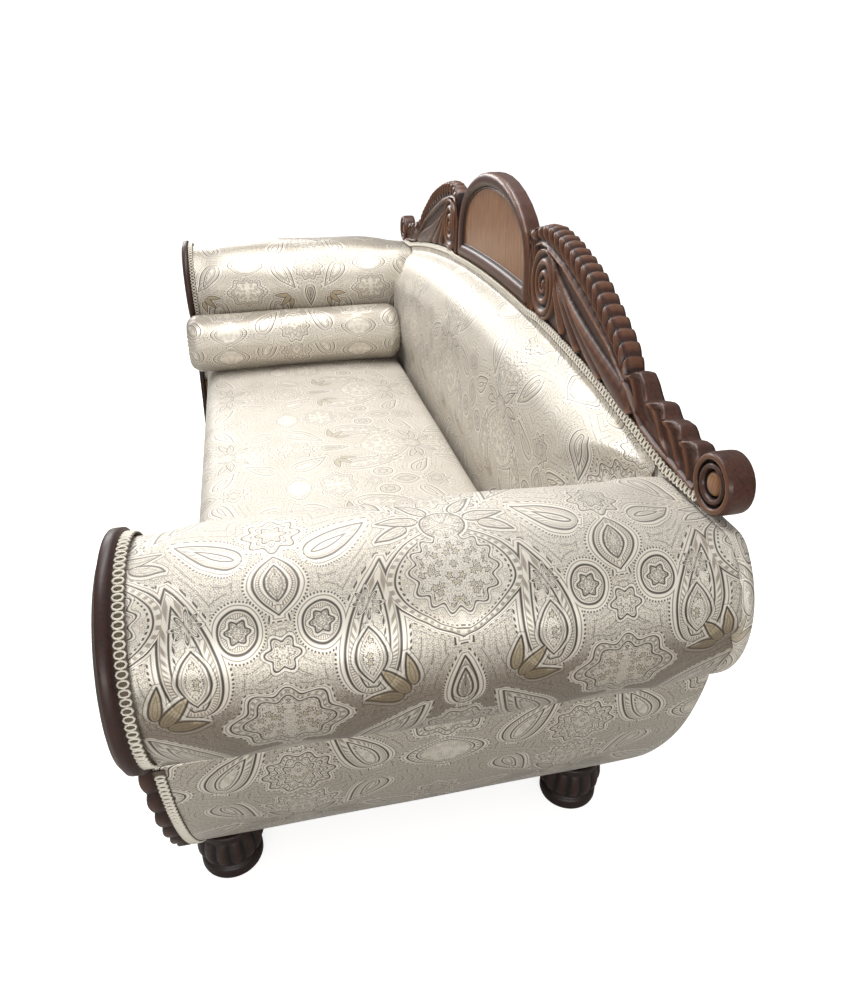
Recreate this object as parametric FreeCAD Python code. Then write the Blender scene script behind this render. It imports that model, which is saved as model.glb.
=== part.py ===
import FreeCAD, Part
import math
import os

os.makedirs("parts", exist_ok=True)

# A double-ended scroll-arm sofa with a carved mahogany crest, in millimetres.
# X runs along the sofa, -Y is the front, +Z is up, and the origin is on the floor under its middle.

# Overall
overall_length = 2100.0
overall_depth = 760.0
arm_height = 726.0
seat_height = 387.0
clearance = 0.3
glue_gap = 0.2
carving_root = 2.0
flat_limit = 1e-6
disc_sides = 18
roll_runs = 24
core_runs = 14
spiral_runs = 7
arch_runs = 10

# Feet and seat frame
foot_height = 100.0
foot_top_radius = 50.0
foot_body_radius = 56.0
foot_neck_radius = 46.0
foot_ring_radius = 51.0
foot_ring_height = 24.0
foot_reeds = 14
foot_reed_depth = 5.0
foot_spigot_radius = 10.0
foot_spigot_length = 45.0
foot_front_inset = 13.0
foot_back_inset = 15.0
rail_height = 92.0
rail_thickness = 36.0
side_rail_thickness = 42.0
rail_bead_depth = 10.0
rail_bead_height = 26.0
frame_side_gap = 6.0
tenon_length = 25.0
tenon_thickness = 12.0
tenon_height = 30.0
side_tenon_length = 15.0
brace_width = 30.0
brace_height = 50.0
brace_x = 250.0
block_leg = 70.0
block_height = 76.0

# Arms
roll_radius = 142.0
roll_padding = 42.0
roll_front_droop = 5.0
roll_back_droop = 26.0
crease_angle = -61.0
inner_angle = 219.0
inside_arm_set = 123.0
inside_arm_padding = 45.0
inside_arm_lap = 8.0
arm_foot_set = 115.0
arm_side_bulge = 33.0
arm_cover = 10.0
seam_gap = 2.0
facing_thickness = 16.0
facing_relief = 6.0
facing_foot_set = 75.0
facing_lobes = 7
facing_lobe_rise = 5.0
facing_scroll_bead = 6.0
facing_half_turns = 4
rosette_radius = 42.0
rosette_recess = 6.0
rosette_petals = 12
post_thickness = 30.0
arm_end_padding = 30.0
top_rail_thickness = 45.0
arm_tack_rail_width = 34.0
arm_tack_rail_height = 30.0
arm_tenon_length = 12.0

# Back
back_cover = 8.0
back_frame_thickness = 30.0
upright_width = 42.0
top_rail_height = 70.0
back_tack_rail_height = 50.0
back_pad_depth = 67.0
back_pad_top = 3.0
back_pad_bulge = 12.0
back_pad_tuck = 27.0
muntin_width = 40.0
muntin_x = 250.0

# Crest
crest_end_sink = 19.0
crest_end_drop = 80.0
crest_end_step = 10.0
crest_base_set = 87.0
wing_height = 233.5
crest_thickness = 28.0
crest_relief = 7.0
tablet_half_width = 258.0
tablet_height = 211.0
tablet_side_bulge = 6.0
tablet_shoulder_x = 206.0
tablet_shoulder_height = 149.0
tablet_thickness = 34.0
tablet_frame_width = 38.0
tablet_foot_width = 20.0
tablet_moulding = 8.0
panel_thickness = 10.0
panel_rebate = 6.0
wing_gadroons = 14
gadroon_length = 46.0
gadroon_rise = 4.0
scroll_offset = 35.0
scroll_radius = 40.0
scroll_thickness = 36.0
scroll_eye_radius = 16.0
scroll_recess = 5.0
scroll_groove = 3.0
volute_radius = 55.0
volute_bead = 5.0
volute_half_turns = 4
volute_eye_radius = 10.0
crest_tenon_width = 36.0
crest_tenon_thickness = 8.0
crest_tenon_above = 10.0
crest_tenon_below = 25.0

# Upholstery
web_width = 50.0
web_thickness = 2.0
cloth_thickness = 1.0
cloth_lap = 20.0
spring_radius = 46.0
spring_waist = 30.0
spring_wire = 3.6
spring_turns = 3
spring_sides = 5
hessian_thickness = 1.5
seat_pad_depth = 85.0
seat_end_gap = 3.0
seat_front_inset = 28.0
seat_lip_thickness = 34.0
bolster_radius = 85.5
bolster_back_gap = 13.4
bolster_dome = 22.0
bolster_sides = 36
gimp_width = 13.0
gimp_thickness = 2.5

# Levels and planes that several pieces share
front_plane = -overall_depth / 2
back_plane = overall_depth / 2
facing_front = front_plane + facing_relief
facing_back = facing_front + facing_thickness
post_front = facing_back
post_inner_front = post_front + post_thickness
frame_back = back_plane - back_cover
frame_front_of_back = frame_back - back_frame_thickness
post_inner_back = frame_front_of_back - post_thickness
rail_bottom = foot_height
rail_top = rail_bottom + rail_height
rail_back_of_front = facing_back + rail_thickness
rail_front_of_back = frame_back - rail_thickness
roll_x = overall_length / 2 - roll_radius
roll_z = arm_height - roll_radius
core_radius = roll_radius - roll_padding
crest_front = frame_front_of_back
crest_end_height = arm_height - crest_end_sink
crest_base_height = crest_end_height + crest_end_drop
crest_base_half = roll_x - crest_base_set
inside_arm_x = roll_x - inside_arm_set
arm_foot_x = roll_x - arm_foot_set
facing_foot_x = arm_foot_x - facing_foot_set
frame_half_length = arm_foot_x - arm_cover - side_rail_thickness - frame_side_gap
seat_half_length = inside_arm_x - seat_end_gap
back_pad_half_length = inside_arm_x + back_pad_tuck
hessian_top = seat_height - seat_pad_depth
springs_top = hessian_top - hessian_thickness
back_pad_bottom = hessian_top
inside_arm_bottom = hessian_top + inside_arm_lap
seat_front = front_plane + seat_front_inset
upright_outer = frame_half_length + upright_width
pad_back = frame_front_of_back - web_thickness - clearance
seat_back = pad_back - back_pad_depth - clearance


# Shape helpers

def vec(x, y, z):
    return FreeCAD.Vector(x, y, z)


def in_xz(y):
    return lambda u, v: vec(u, y, v)


def in_yz(x):
    return lambda u, v: vec(x, u, v)


def in_xy(z):
    return lambda u, v: vec(u, v, z)


# A closed outline: each step is an end point, or a point on the way and an end point for an arc
def outline(place, start, steps):
    edges = []
    here = place(*start)
    for step in steps:
        end = place(*step[-1])
        if len(step) == 1:
            edges.append(Part.LineSegment(here, end).toShape())
        else:
            edges.append(Part.Arc(here, place(*step[0]), end).toShape())
        here = end
    return Part.Wire(edges)


def prism(wire, direction):
    return Part.Face(wire).extrude(direction)


def box(x0, x1, y0, y1, z0, z1):
    return Part.makeBox(x1 - x0, y1 - y0, z1 - z0, vec(x0, y0, z0))


def mirrored(shape):
    return shape.mirror(vec(0, 0, 0), vec(1, 0, 0))


def polar(centre, radius, degrees):
    angle = math.radians(degrees)
    return (centre[0] + radius * math.cos(angle), centre[1] + radius * math.sin(angle))


# The steps of an arc round a centre, in pieces that each stay under a half circle
def arc_steps(centre, radius, start, end, pieces=2):
    steps = []
    turn = (end - start) / pieces
    for i in range(pieces):
        way = polar(centre, radius, start + (i + 0.5) * turn)
        stop = polar(centre, radius, start + (i + 1) * turn)
        steps.append((way, stop))
    return steps


# Points at even steps round a centre
def turn_points(centre, radius, start, end, runs):
    return [polar(centre, radius, start + (end - start) * i / runs) for i in range(runs + 1)]


# A solid with flat sides between rings of the same number of points
def faceted(rings):
    outlines = [rings[0], rings[-1]]
    for low, high in zip(rings, rings[1:]):
        for i in range(len(low)):
            j = (i + 1) % len(low)
            across = (low[j] - low[i]).cross(high[j] - low[i])
            if abs(across.dot(high[i] - low[i])) < flat_limit * across.Length:
                outlines.append([low[i], low[j], high[j], high[i]])
            else:
                outlines.append([low[i], low[j], high[j]])
                outlines.append([low[i], high[j], high[i]])
    faces = [Part.Face(Part.makePolygon(corners + corners[:1])) for corners in outlines]
    return Part.makeSolid(Part.makeShell(faces))


# A many-sided disc on an axis along Y
def disc(centre, radius, y0, y1):
    ring = turn_points(centre, radius, 0, 360, disc_sides)[1:]
    return faceted([[vec(x, y, z) for x, z in ring] for y in (y0, y1)])


# A drop carved on a face that looks to -Y: it swells from a thin root to a blunt tip, in flat facets
def drop(face, root, tip, root_half, tip_half, rise):
    length = math.hypot(tip[0] - root[0], tip[1] - root[1])
    along = ((tip[0] - root[0]) / length, (tip[1] - root[1]) / length)
    stations = [
        (0.0, root_half),
        (length - 0.8 * tip_half, tip_half),
        (length, 0.5 * tip_half),
    ]
    rings = []
    for distance, half in stations:
        height = rise * half / tip_half
        section = [(half, -carving_root), (half, 0), (0.4 * half, height), (-0.4 * half, height),
                   (-half, 0), (-half, -carving_root)]
        points = []
        for across, up in section:
            x = root[0] + along[0] * distance - along[1] * across
            z = root[1] + along[1] * distance + along[0] * across
            points.append(vec(x, face - up, z))
        rings.append(points)
    return faceted(rings)


# A raised band that winds inwards on a face in half turns, each tangent to the last
def spiral_band(face, centre, start_radius, end_radius, half_turns, half_width, rise, way):
    shrink = (start_radius - end_radius) / half_turns
    start = 0 if way > 0 else 180
    middle = centre
    outer = []
    inner = []
    for i in range(half_turns):
        radius = start_radius - shrink * i
        first = start + way * 180 * i
        skip = 0 if i == 0 else 1
        outer += turn_points(middle, radius + half_width, first, first + way * 180, spiral_runs)[skip:]
        inner += turn_points(middle, radius - half_width, first, first + way * 180, spiral_runs)[skip:]
        middle = polar(middle, -shrink, first)
    steps = [(point,) for point in outer[1:] + inner[::-1] + outer[:1]]
    wire = outline(in_xz(face - rise), outer[0], steps)
    return prism(wire, vec(0, rise + carving_root, 0))


# Curves that several pieces follow

# Height of the line where the crest stands on the back, a flat arc
crest_arc_radius = (crest_base_half ** 2 + crest_end_drop ** 2) / (2 * crest_end_drop)


def crest_line(x, below=0.0):
    sagitta = crest_arc_radius - math.sqrt(crest_arc_radius ** 2 - x ** 2)
    return crest_base_height - sagitta - below


# Outer side of the arm below the roll: an arc from the foot of the arm to the crease under the roll
crease = polar((roll_x, roll_z), roll_radius, crease_angle)
side_chord = math.hypot(crease[0] - arm_foot_x, crease[1] - rail_bottom)
side_radius = (side_chord ** 2 / 4 + arm_side_bulge ** 2) / (2 * arm_side_bulge)
side_normal = ((crease[1] - rail_bottom) / side_chord, -(crease[0] - arm_foot_x) / side_chord)
side_reach = side_radius - arm_side_bulge
side_centre = (
    (crease[0] + arm_foot_x) / 2 - side_normal[0] * side_reach,
    (crease[1] + rail_bottom) / 2 - side_normal[1] * side_reach,
)
side_top = crease[1] - seam_gap


def side_point(offset, z):
    radius = side_radius - offset
    return (side_centre[0] + math.sqrt(radius ** 2 - (z - side_centre[1]) ** 2), z)


# The step that follows the arm's side between two heights
def side_step(offset, z0, z1):
    return (side_point(offset, (z0 + z1) / 2), side_point(offset, z1))


# Feet

# A ring of points that steps in and out once for each reed
def reeded_ring(radius, z):
    groove = radius * (1 - foot_reed_depth / foot_body_radius)
    points = []
    for i in range(foot_reeds):
        for share, reach in ((0.0, radius), (0.55, radius), (0.775, groove)):
            points.append(vec(*polar((0, 0), reach, 360.0 * (i + share) / foot_reeds), z))
    return points


def turned(profile):
    rings = []
    for radius, z in profile:
        ring = turn_points((0, 0), radius, 0, 360, disc_sides)[1:]
        rings.append([vec(x, y, z) for x, y in ring])
    return faceted(rings)


def make_foot(x, y):
    body_low = foot_ring_height + 0.04 * foot_height
    shoulder = 0.86 * foot_height
    body = faceted([
        reeded_ring(foot_neck_radius, body_low),
        reeded_ring(foot_body_radius, shoulder),
        reeded_ring(foot_top_radius, foot_height),
    ])
    bevel = 0.3 * foot_ring_height
    neck_radius = 0.8 * foot_neck_radius
    base = turned([
        (foot_ring_radius - bevel, 0),
        (foot_ring_radius, bevel),
        (foot_ring_radius, foot_ring_height - bevel),
        (foot_ring_radius - bevel, foot_ring_height),
    ])
    neck = turned([(neck_radius, foot_ring_height), (neck_radius, body_low)])
    spigot_top = foot_height + foot_spigot_length
    spigot = turned([(foot_spigot_radius, foot_height), (foot_spigot_radius, spigot_top)])
    foot = body.fuse([base, neck, spigot])
    foot.translate(vec(x, y, 0))
    return foot


foot_x = frame_half_length + side_rail_thickness / 2
foot_front_y = post_inner_front + foot_front_inset
foot_back_y = post_inner_back - foot_back_inset


def spigot_hole(x, y):
    radius = foot_spigot_radius + glue_gap
    hole = turned([(radius, rail_bottom), (radius, rail_bottom + foot_spigot_length + glue_gap)])
    hole.translate(vec(x, y, 0))
    return hole


# Seat frame

front_tenon_z = rail_bottom + 0.15 * rail_height
side_tenon_z = rail_bottom + 0.55 * rail_height


def rail_tenon(side, y_middle, fit):
    x0 = side * frame_half_length
    x1 = side * (frame_half_length + tenon_length + fit)
    half = tenon_thickness / 2 + fit
    return box(min(x0, x1), max(x0, x1), y_middle - half, y_middle + half,
               front_tenon_z - fit, front_tenon_z + tenon_height + fit)


def long_rail(y0, y1):
    rail = box(-frame_half_length, frame_half_length, y0, y1, rail_bottom, rail_top)
    middle = (y0 + y1) / 2
    return rail.fuse([rail_tenon(-1, middle, 0), rail_tenon(1, middle, 0)]).removeSplitter()


def make_front_rail():
    half = facing_foot_x - clearance
    bead_middle = rail_bottom + rail_bead_height / 2
    bead_steps = [
        ((facing_back - rail_bead_depth, bead_middle), (facing_back, rail_bottom + rail_bead_height)),
        ((facing_back + 2, rail_bottom + rail_bead_height),),
        ((facing_back + 2, rail_bottom),),
        ((facing_back, rail_bottom),),
    ]
    bead = prism(outline(in_yz(-half), (facing_back, rail_bottom), bead_steps), vec(2 * half, 0, 0))
    fillet_top = rail_top - 0.12 * rail_height
    fillet = box(-half, half, facing_back - rail_bead_depth / 2, facing_back + 2, fillet_top, rail_top)
    rail = long_rail(facing_back, rail_back_of_front)
    return rail.fuse([bead, fillet]).removeSplitter()


side_rail_middle = frame_half_length + side_rail_thickness / 2


def side_tenon(y0, y1, fit):
    half = tenon_thickness / 2 + fit
    return box(side_rail_middle - half, side_rail_middle + half, y0, y1,
               side_tenon_z - fit, side_tenon_z + tenon_height + fit)


def make_side_rail():
    rail = box(frame_half_length, frame_half_length + side_rail_thickness,
               post_inner_front, post_inner_back, rail_bottom, rail_top)
    front = side_tenon(post_inner_front - side_tenon_length, post_inner_front, 0)
    back = side_tenon(post_inner_back, post_inner_back + side_tenon_length, 0)
    rail = rail.fuse([front, back]).removeSplitter()
    return rail.cut([spigot_hole(foot_x, foot_front_y), spigot_hole(foot_x, foot_back_y)])


def make_brace(x):
    z0 = rail_bottom + (rail_height - brace_height) / 2
    return box(x - brace_width / 2, x + brace_width / 2, rail_back_of_front, rail_front_of_back,
               z0, z0 + brace_height)


def make_corner_block(side, y, inward):
    x = side * frame_half_length
    z0 = rail_bottom + (rail_height - block_height) / 2
    steps = [
        ((x - side * block_leg, y),),
        ((x, y + inward * block_leg),),
        ((x, y),),
    ]
    return prism(outline(in_xy(z0), (x, y), steps), vec(0, 0, block_height))


# Arm frame

post_offset = arm_cover + clearance
core_seat_radius = core_radius - clearance
inner_core_x = inside_arm_x + inside_arm_padding + clearance
post_step_x = inside_arm_x + 5.0
post_step_z = inside_arm_bottom - clearance


# The post's edge from the foot of the arm, up its side, round the roll and down to the seat
def make_post(y0):
    roll = (roll_x, roll_z)
    start = (frame_half_length, rail_bottom)
    inner_end = polar(roll, core_seat_radius, inner_angle)
    steps = [
        (side_point(post_offset, rail_bottom),),
        side_step(post_offset, rail_bottom, side_top),
        (polar(roll, core_seat_radius, crease_angle),),
    ]
    core = turn_points(roll, core_seat_radius, crease_angle, inner_angle, core_runs)
    steps += [(point,) for point in core[1:]]
    steps += [
        ((inner_core_x, inner_end[1] - 12),),
        ((inner_core_x, post_step_z),),
        ((post_step_x, post_step_z),),
        ((post_step_x, rail_top),),
        ((frame_half_length, rail_top),),
        (start,),
    ]
    return prism(outline(in_xz(y0), start, steps), vec(0, post_thickness, 0))


# Part of a ring in the roll that carries the stuffing over the top of the arm
def make_arm_top_rail(fit):
    roll = (roll_x, roll_z)
    inner = core_seat_radius - top_rail_thickness
    outer_points = turn_points(roll, core_seat_radius, crease_angle, inner_angle, core_runs)[4:11]
    inner_points = turn_points(roll, inner, crease_angle, inner_angle, core_runs)[4:11]
    steps = [(point,) for point in outer_points[1:] + inner_points[::-1] + outer_points[:1]]
    wire = outline(in_xz(post_inner_front), outer_points[0], steps)
    body = prism(wire, vec(0, post_inner_back - post_inner_front, 0))
    half = tenon_height + fit
    z0 = roll_z + inner + top_rail_thickness / 4 - fit
    z1 = roll_z + core_seat_radius - top_rail_thickness / 4 + fit
    reach = arm_tenon_length + fit
    tenons = [
        box(roll_x - half, roll_x + half, post_inner_front - reach, post_inner_front, z0, z1),
        box(roll_x - half, roll_x + half, post_inner_back, post_inner_back + reach, z0, z1),
    ]
    return body, tenons


# Rail under the roll, where the covers are tacked
def make_arm_tack_rail(fit):
    z1 = side_top
    z0 = z1 - arm_tack_rail_height
    right = side_point(post_offset, z0)[0] - clearance
    body = box(right - arm_tack_rail_width, right, post_inner_front, post_inner_back, z0, z1)
    grow = 7.0 - fit
    tenons = []
    for y0, y1 in (
        (post_inner_front - arm_tenon_length - fit, post_inner_front),
        (post_inner_back, post_inner_back + arm_tenon_length + fit),
    ):
        tenons.append(box(right - arm_tack_rail_width + grow, right - grow, y0, y1, z0 + grow, z1 - grow))
    return body, tenons


# Arm facing of show wood

def make_facing():
    roll = (roll_x, roll_z)
    neck = polar(roll, roll_radius, inner_angle)
    start = (facing_foot_x, rail_bottom)
    low = rail_bottom
    high = side_top
    steps = [(side_point(0, low),)]
    for i in range(facing_lobes):
        z0 = low + (high - low) * i / facing_lobes
        z1 = low + (high - low) * (i + 1) / facing_lobes
        steps.append((side_point(-facing_lobe_rise, (z0 + z1) / 2), side_point(0, z1)))
    steps.append((polar(roll, roll_radius, crease_angle),))
    steps += arc_steps(roll, roll_radius, crease_angle, inner_angle, 3)
    bend = ((neck[0] + facing_foot_x) / 2 + 18, (neck[1] + rail_top) / 2)
    steps.append((bend, (facing_foot_x, rail_top + 8)))
    steps.append((start,))
    board = prism(outline(in_xz(facing_front), start, steps), vec(0, facing_thickness, 0))
    carved = []
    band_start = roll_radius - 2.5 * facing_scroll_bead
    band_end = rosette_radius + 4 * facing_scroll_bead
    carved.append(spiral_band(facing_front, roll, band_start, band_end, facing_half_turns,
                              facing_scroll_bead, facing_relief, -1))
    for i in range(facing_lobes):
        z = low + (high - low) * (i + 0.5) / facing_lobes
        tip = side_point(-facing_lobe_rise / 2, z)
        inner = neck[0] if z > seat_height else facing_foot_x + (neck[0] - facing_foot_x) * 0.5
        reach = min(0.55 * (tip[0] - inner), 80.0)
        root = (tip[0] - reach, z + 0.25 * reach)
        radius = 0.46 * (high - low) / facing_lobes
        carved.append(drop(facing_front, root, tip, 2.0, radius, facing_relief))
    board = board.fuse(carved)
    return board.cut(disc(roll, rosette_radius + clearance, facing_front, facing_front + rosette_recess))


def make_rosette():
    floor = facing_front + rosette_recess
    face = floor - 0.6 * rosette_recess
    rise = face - front_plane
    back = disc((roll_x, roll_z), rosette_radius, face, floor)
    petal_half = math.pi * rosette_radius / rosette_petals * 0.8
    pieces = []
    for i in range(rosette_petals):
        angle = 360.0 * i / rosette_petals
        root = polar((roll_x, roll_z), 0.4 * rosette_radius, angle)
        tip = polar((roll_x, roll_z), rosette_radius - 1, angle)
        pieces.append(drop(face, root, tip, 0.3 * petal_half, petal_half, 0.7 * rise))
    boss = disc((roll_x, roll_z), 0.32 * rosette_radius, front_plane, face + carving_root)
    return back.fuse(pieces + [boss]).removeSplitter()


# Arm upholstery

# Section of the stuffing over the roll and down the inside of the arm
def arm_pad_section(y, droop):
    roll = (roll_x, roll_z)
    section = turn_points(roll, roll_radius - droop, crease_angle, inner_angle, roll_runs)
    core_x = inside_arm_x + inside_arm_padding
    neck = polar(roll, core_radius, inner_angle)
    section += [(inside_arm_x, inside_arm_bottom), (core_x, inside_arm_bottom), (core_x, neck[1] - 12)]
    section += turn_points(roll, core_radius, inner_angle, crease_angle, core_runs)
    return [vec(x, y, z) for x, z in section]


def make_arm_pad():
    y0 = post_front
    y1 = frame_front_of_back - clearance
    length = y1 - y0
    stations = [
        (y0, roll_front_droop),
        (y0 + 0.04 * length, 0.35 * roll_front_droop),
        (y0 + 0.15 * length, 0.0),
        (y0 + 0.8 * length, 0.0),
        (y0 + 0.93 * length, 0.4 * roll_back_droop),
        (y1, roll_back_droop),
    ]
    return faceted([arm_pad_section(y, droop) for y, droop in stations])


def make_outside_arm():
    y0 = post_front
    length = frame_back - y0
    start = side_point(0, rail_bottom)
    steps = [
        side_step(0, rail_bottom, side_top),
        (side_point(arm_cover, side_top),),
        side_step(arm_cover, side_top, rail_bottom),
        (start,),
    ]
    return prism(outline(in_xz(y0), start, steps), vec(0, length, 0))


# The arm's back end, closed with gathered cover over a thin pad, flat on top where the crest ends stand
crest_shelf = crest_end_height - crest_end_step


def make_arm_end_cover():
    roll = (roll_x, roll_z)
    radius = roll_radius - roll_back_droop - clearance
    lift = math.degrees(math.asin(min(0.98, (crest_shelf - clearance - roll_z) / radius)))
    inner = upright_outer + clearance
    start = (inner, rail_bottom)
    steps = [
        (side_point(post_offset, rail_bottom),),
        side_step(post_offset, rail_bottom, side_top),
        (polar(roll, radius, crease_angle),),
    ]
    round_points = turn_points(roll, radius, crease_angle, lift, core_runs)
    steps += [(point,) for point in round_points[1:]]
    steps += [((inner, crest_shelf - clearance),), (start,)]
    wire = outline(in_xz(frame_front_of_back), start, steps)
    return prism(wire, vec(0, arm_end_padding, 0))


# Back frame

def under_crest(x0, x1, y0, y1, z0, below=0.0):
    steps = [
        ((x1, z0),),
        ((x1, crest_line(x1, below)),),
        (((x0 + x1) / 2, crest_line((x0 + x1) / 2, below)), (x0, crest_line(x0, below))),
        ((x0, z0),),
    ]
    return prism(outline(in_xz(y0), (x0, z0), steps), vec(0, y1 - y0, 0))


def make_back_top_rail():
    end_top = crest_line(frame_half_length)
    end_low = crest_line(frame_half_length, top_rail_height)
    start = (-frame_half_length, end_top)
    steps = [
        ((0, crest_line(0)), (frame_half_length, end_top)),
        ((frame_half_length, end_low),),
        ((0, crest_line(0, top_rail_height)), (-frame_half_length, end_low)),
        (start,),
    ]
    return prism(outline(in_xz(frame_front_of_back), start, steps), vec(0, back_frame_thickness, 0))


back_tack_z0 = back_pad_bottom - 12.0
back_tack_z1 = back_tack_z0 + back_tack_rail_height


def make_muntin(x):
    x0 = x - muntin_width / 2
    x1 = x + muntin_width / 2
    return under_crest(x0, x1, frame_front_of_back, frame_back, back_tack_z1, top_rail_height)


# Back upholstery

web_back = frame_front_of_back


def back_pad_section(x):
    top = crest_line(min(abs(x), crest_base_half), clearance)
    low_y = pad_back - back_pad_depth
    high_y = pad_back - back_pad_top
    band = top - gimp_width - 2
    middle = ((low_y + high_y) / 2 - back_pad_bulge, (back_pad_bottom + band) / 2)
    start = (low_y, back_pad_bottom)
    steps = [
        (middle, (high_y, band)),
        ((high_y, top),),
        ((pad_back, top),),
        ((pad_back, back_pad_bottom),),
        (start,),
    ]
    return outline(in_yz(x), start, steps)


# Everything on the arm's side of the inside arm and the roll
def arm_room():
    roll = (roll_x, roll_z)
    reach = roll_radius + clearance + 0.5
    inner = inside_arm_x - clearance
    start = (inner, rail_top)
    steps = [((roll_x + 2 * roll_radius, rail_top),), ((roll_x + 2 * roll_radius, roll_z),),
             (polar(roll, reach, 0),)]
    steps += arc_steps(roll, reach, 0, inner_angle, 2)
    steps += [((inner, inside_arm_bottom),), (start,)]
    return prism(outline(in_xz(front_plane), start, steps), vec(0, overall_depth, 0))


def make_back_pad():
    stations = [-1.0, -0.6, -0.2, 0.2, 0.6, 1.0]
    sections = [back_pad_section(s * back_pad_half_length) for s in stations]
    pad = Part.makeLoft(sections, True, True)
    room = arm_room()
    return pad.cut([room, mirrored(room)])


def make_outside_back():
    inner = upright_outer
    edge = side_point(arm_cover, side_top)
    foot = side_point(arm_cover, rail_bottom)
    top = crest_line(inner, clearance)
    start = (-foot[0], rail_bottom)
    left_step = side_step(arm_cover, side_top, rail_bottom)
    steps = [
        (foot,),
        side_step(arm_cover, rail_bottom, side_top),
        ((inner, edge[1]),),
        ((inner, top),),
        ((0, crest_line(0, clearance)), (-inner, top)),
        ((-inner, edge[1]),),
        ((-edge[0], edge[1]),),
        ((-left_step[0][0], left_step[0][1]), start),
    ]
    return prism(outline(in_xz(frame_back), start, steps), vec(0, back_cover, 0))


# Crest

wing_start = tablet_half_width + tablet_side_bulge + 2.0
scroll_centre = (roll_x + scroll_offset, crest_shelf + 1.0 + scroll_radius)
wing_span = scroll_centre[0] - wing_start


# A point of the wing from its shares of the wing's length and height
def wing_point(along, up):
    return (wing_start + along * wing_span, crest_end_height + up * wing_height)


wing_shoulder = wing_point(0.0, 0.938)
wing_peak = wing_point(0.10, 1.000)
wing_turn = wing_point(0.20, 0.968)
wing_fall = wing_point(0.434, 0.758)
wing_low = wing_point(0.625, 0.368)
leaf_tips = [
    wing_point(0.672, 0.415),
    wing_point(0.772, 0.330),
    wing_point(0.856, 0.278),
    wing_point(0.914, 0.244),
]
leaf_valleys = [
    wing_point(0.728, 0.266),
    wing_point(0.808, 0.240),
    wing_point(0.878, 0.201),
    wing_point(0.945, 0.171),
]
spine_points = [
    wing_point(0.115, 0.852),
    wing_point(0.31, 0.711),
    wing_point(0.50, 0.484),
    wing_point(0.635, 0.266),
    wing_point(0.74, 0.099),
    wing_point(0.86, 0.051),
    wing_point(0.955, 0.026),
]
petal_root = wing_point(0.165, 0.737)
petal_tips = [
    wing_point(0.262, 0.291),
    wing_point(0.372, 0.253),
    wing_point(0.511, 0.201),
    wing_point(0.669, 0.146),
]
volute_centre = wing_point(0.112, 0.544)


# Points along the arched top of the wing, between its shoulder and its leaves
def wing_top(count):
    first = Part.Arc(vec(wing_shoulder[0], 0, wing_shoulder[1]), vec(wing_peak[0], 0, wing_peak[1]),
                     vec(wing_turn[0], 0, wing_turn[1])).toShape()
    second = Part.Arc(vec(wing_turn[0], 0, wing_turn[1]), vec(wing_fall[0], 0, wing_fall[1]),
                      vec(wing_low[0], 0, wing_low[1])).toShape()
    points = Part.Wire([first, second]).discretize(Number=count)
    return [(p.x, p.z) for p in points]


def along_normal(a, b, distance):
    length = math.hypot(b[0] - a[0], b[1] - a[1])
    middle = ((a[0] + b[0]) / 2, (a[1] + b[1]) / 2)
    normal = (-(b[1] - a[1]) / length, (b[0] - a[0]) / length)
    return (middle[0] + normal[0] * distance, middle[1] + normal[1] * distance)


def wing_board():
    base_end = (crest_base_half, crest_end_height)
    start = (wing_start, crest_line(wing_start))
    base_way = (wing_start + base_end[0]) / 2
    steps = [((base_way, crest_line(base_way)), base_end), ((base_end[0] + crest_end_step, crest_shelf),),
             ((scroll_centre[0], crest_shelf),)]
    steps.append((scroll_centre,))
    steps.append((leaf_valleys[-1],))
    for i in range(len(leaf_tips) - 1, -1, -1):
        stop = leaf_valleys[i - 1] if i > 0 else wing_low
        steps.append((leaf_tips[i], stop))
    top = wing_top(wing_gadroons + 1)
    for i in range(wing_gadroons, 0, -1):
        steps.append((along_normal(top[i - 1], top[i], gadroon_rise), top[i - 1]))
    steps.append((start,))
    return prism(outline(in_xz(crest_front), start, steps), vec(0, crest_thickness, 0))


# The rib that runs down the wing, as a band of one width
def wing_spine():
    half = 6.0
    upper = []
    lower = []
    for i, point in enumerate(spine_points):
        before = spine_points[max(i - 1, 0)]
        after = spine_points[min(i + 1, len(spine_points) - 1)]
        length = math.hypot(after[0] - before[0], after[1] - before[1])
        normal = (-(after[1] - before[1]) / length, (after[0] - before[0]) / length)
        upper.append((point[0] + normal[0] * half, point[1] + normal[1] * half))
        lower.append((point[0] - normal[0] * half, point[1] - normal[1] * half))
    steps = [(upper[i], upper[i + 1]) for i in range(1, len(upper) - 1, 2)]
    steps.append((lower[-1],))
    steps += [(lower[i], lower[i - 1]) for i in range(len(lower) - 2, 0, -2)]
    steps.append((upper[0],))
    wire = outline(in_xz(crest_front - crest_relief), upper[0], steps)
    return prism(wire, vec(0, crest_relief + 2, 0))


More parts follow.
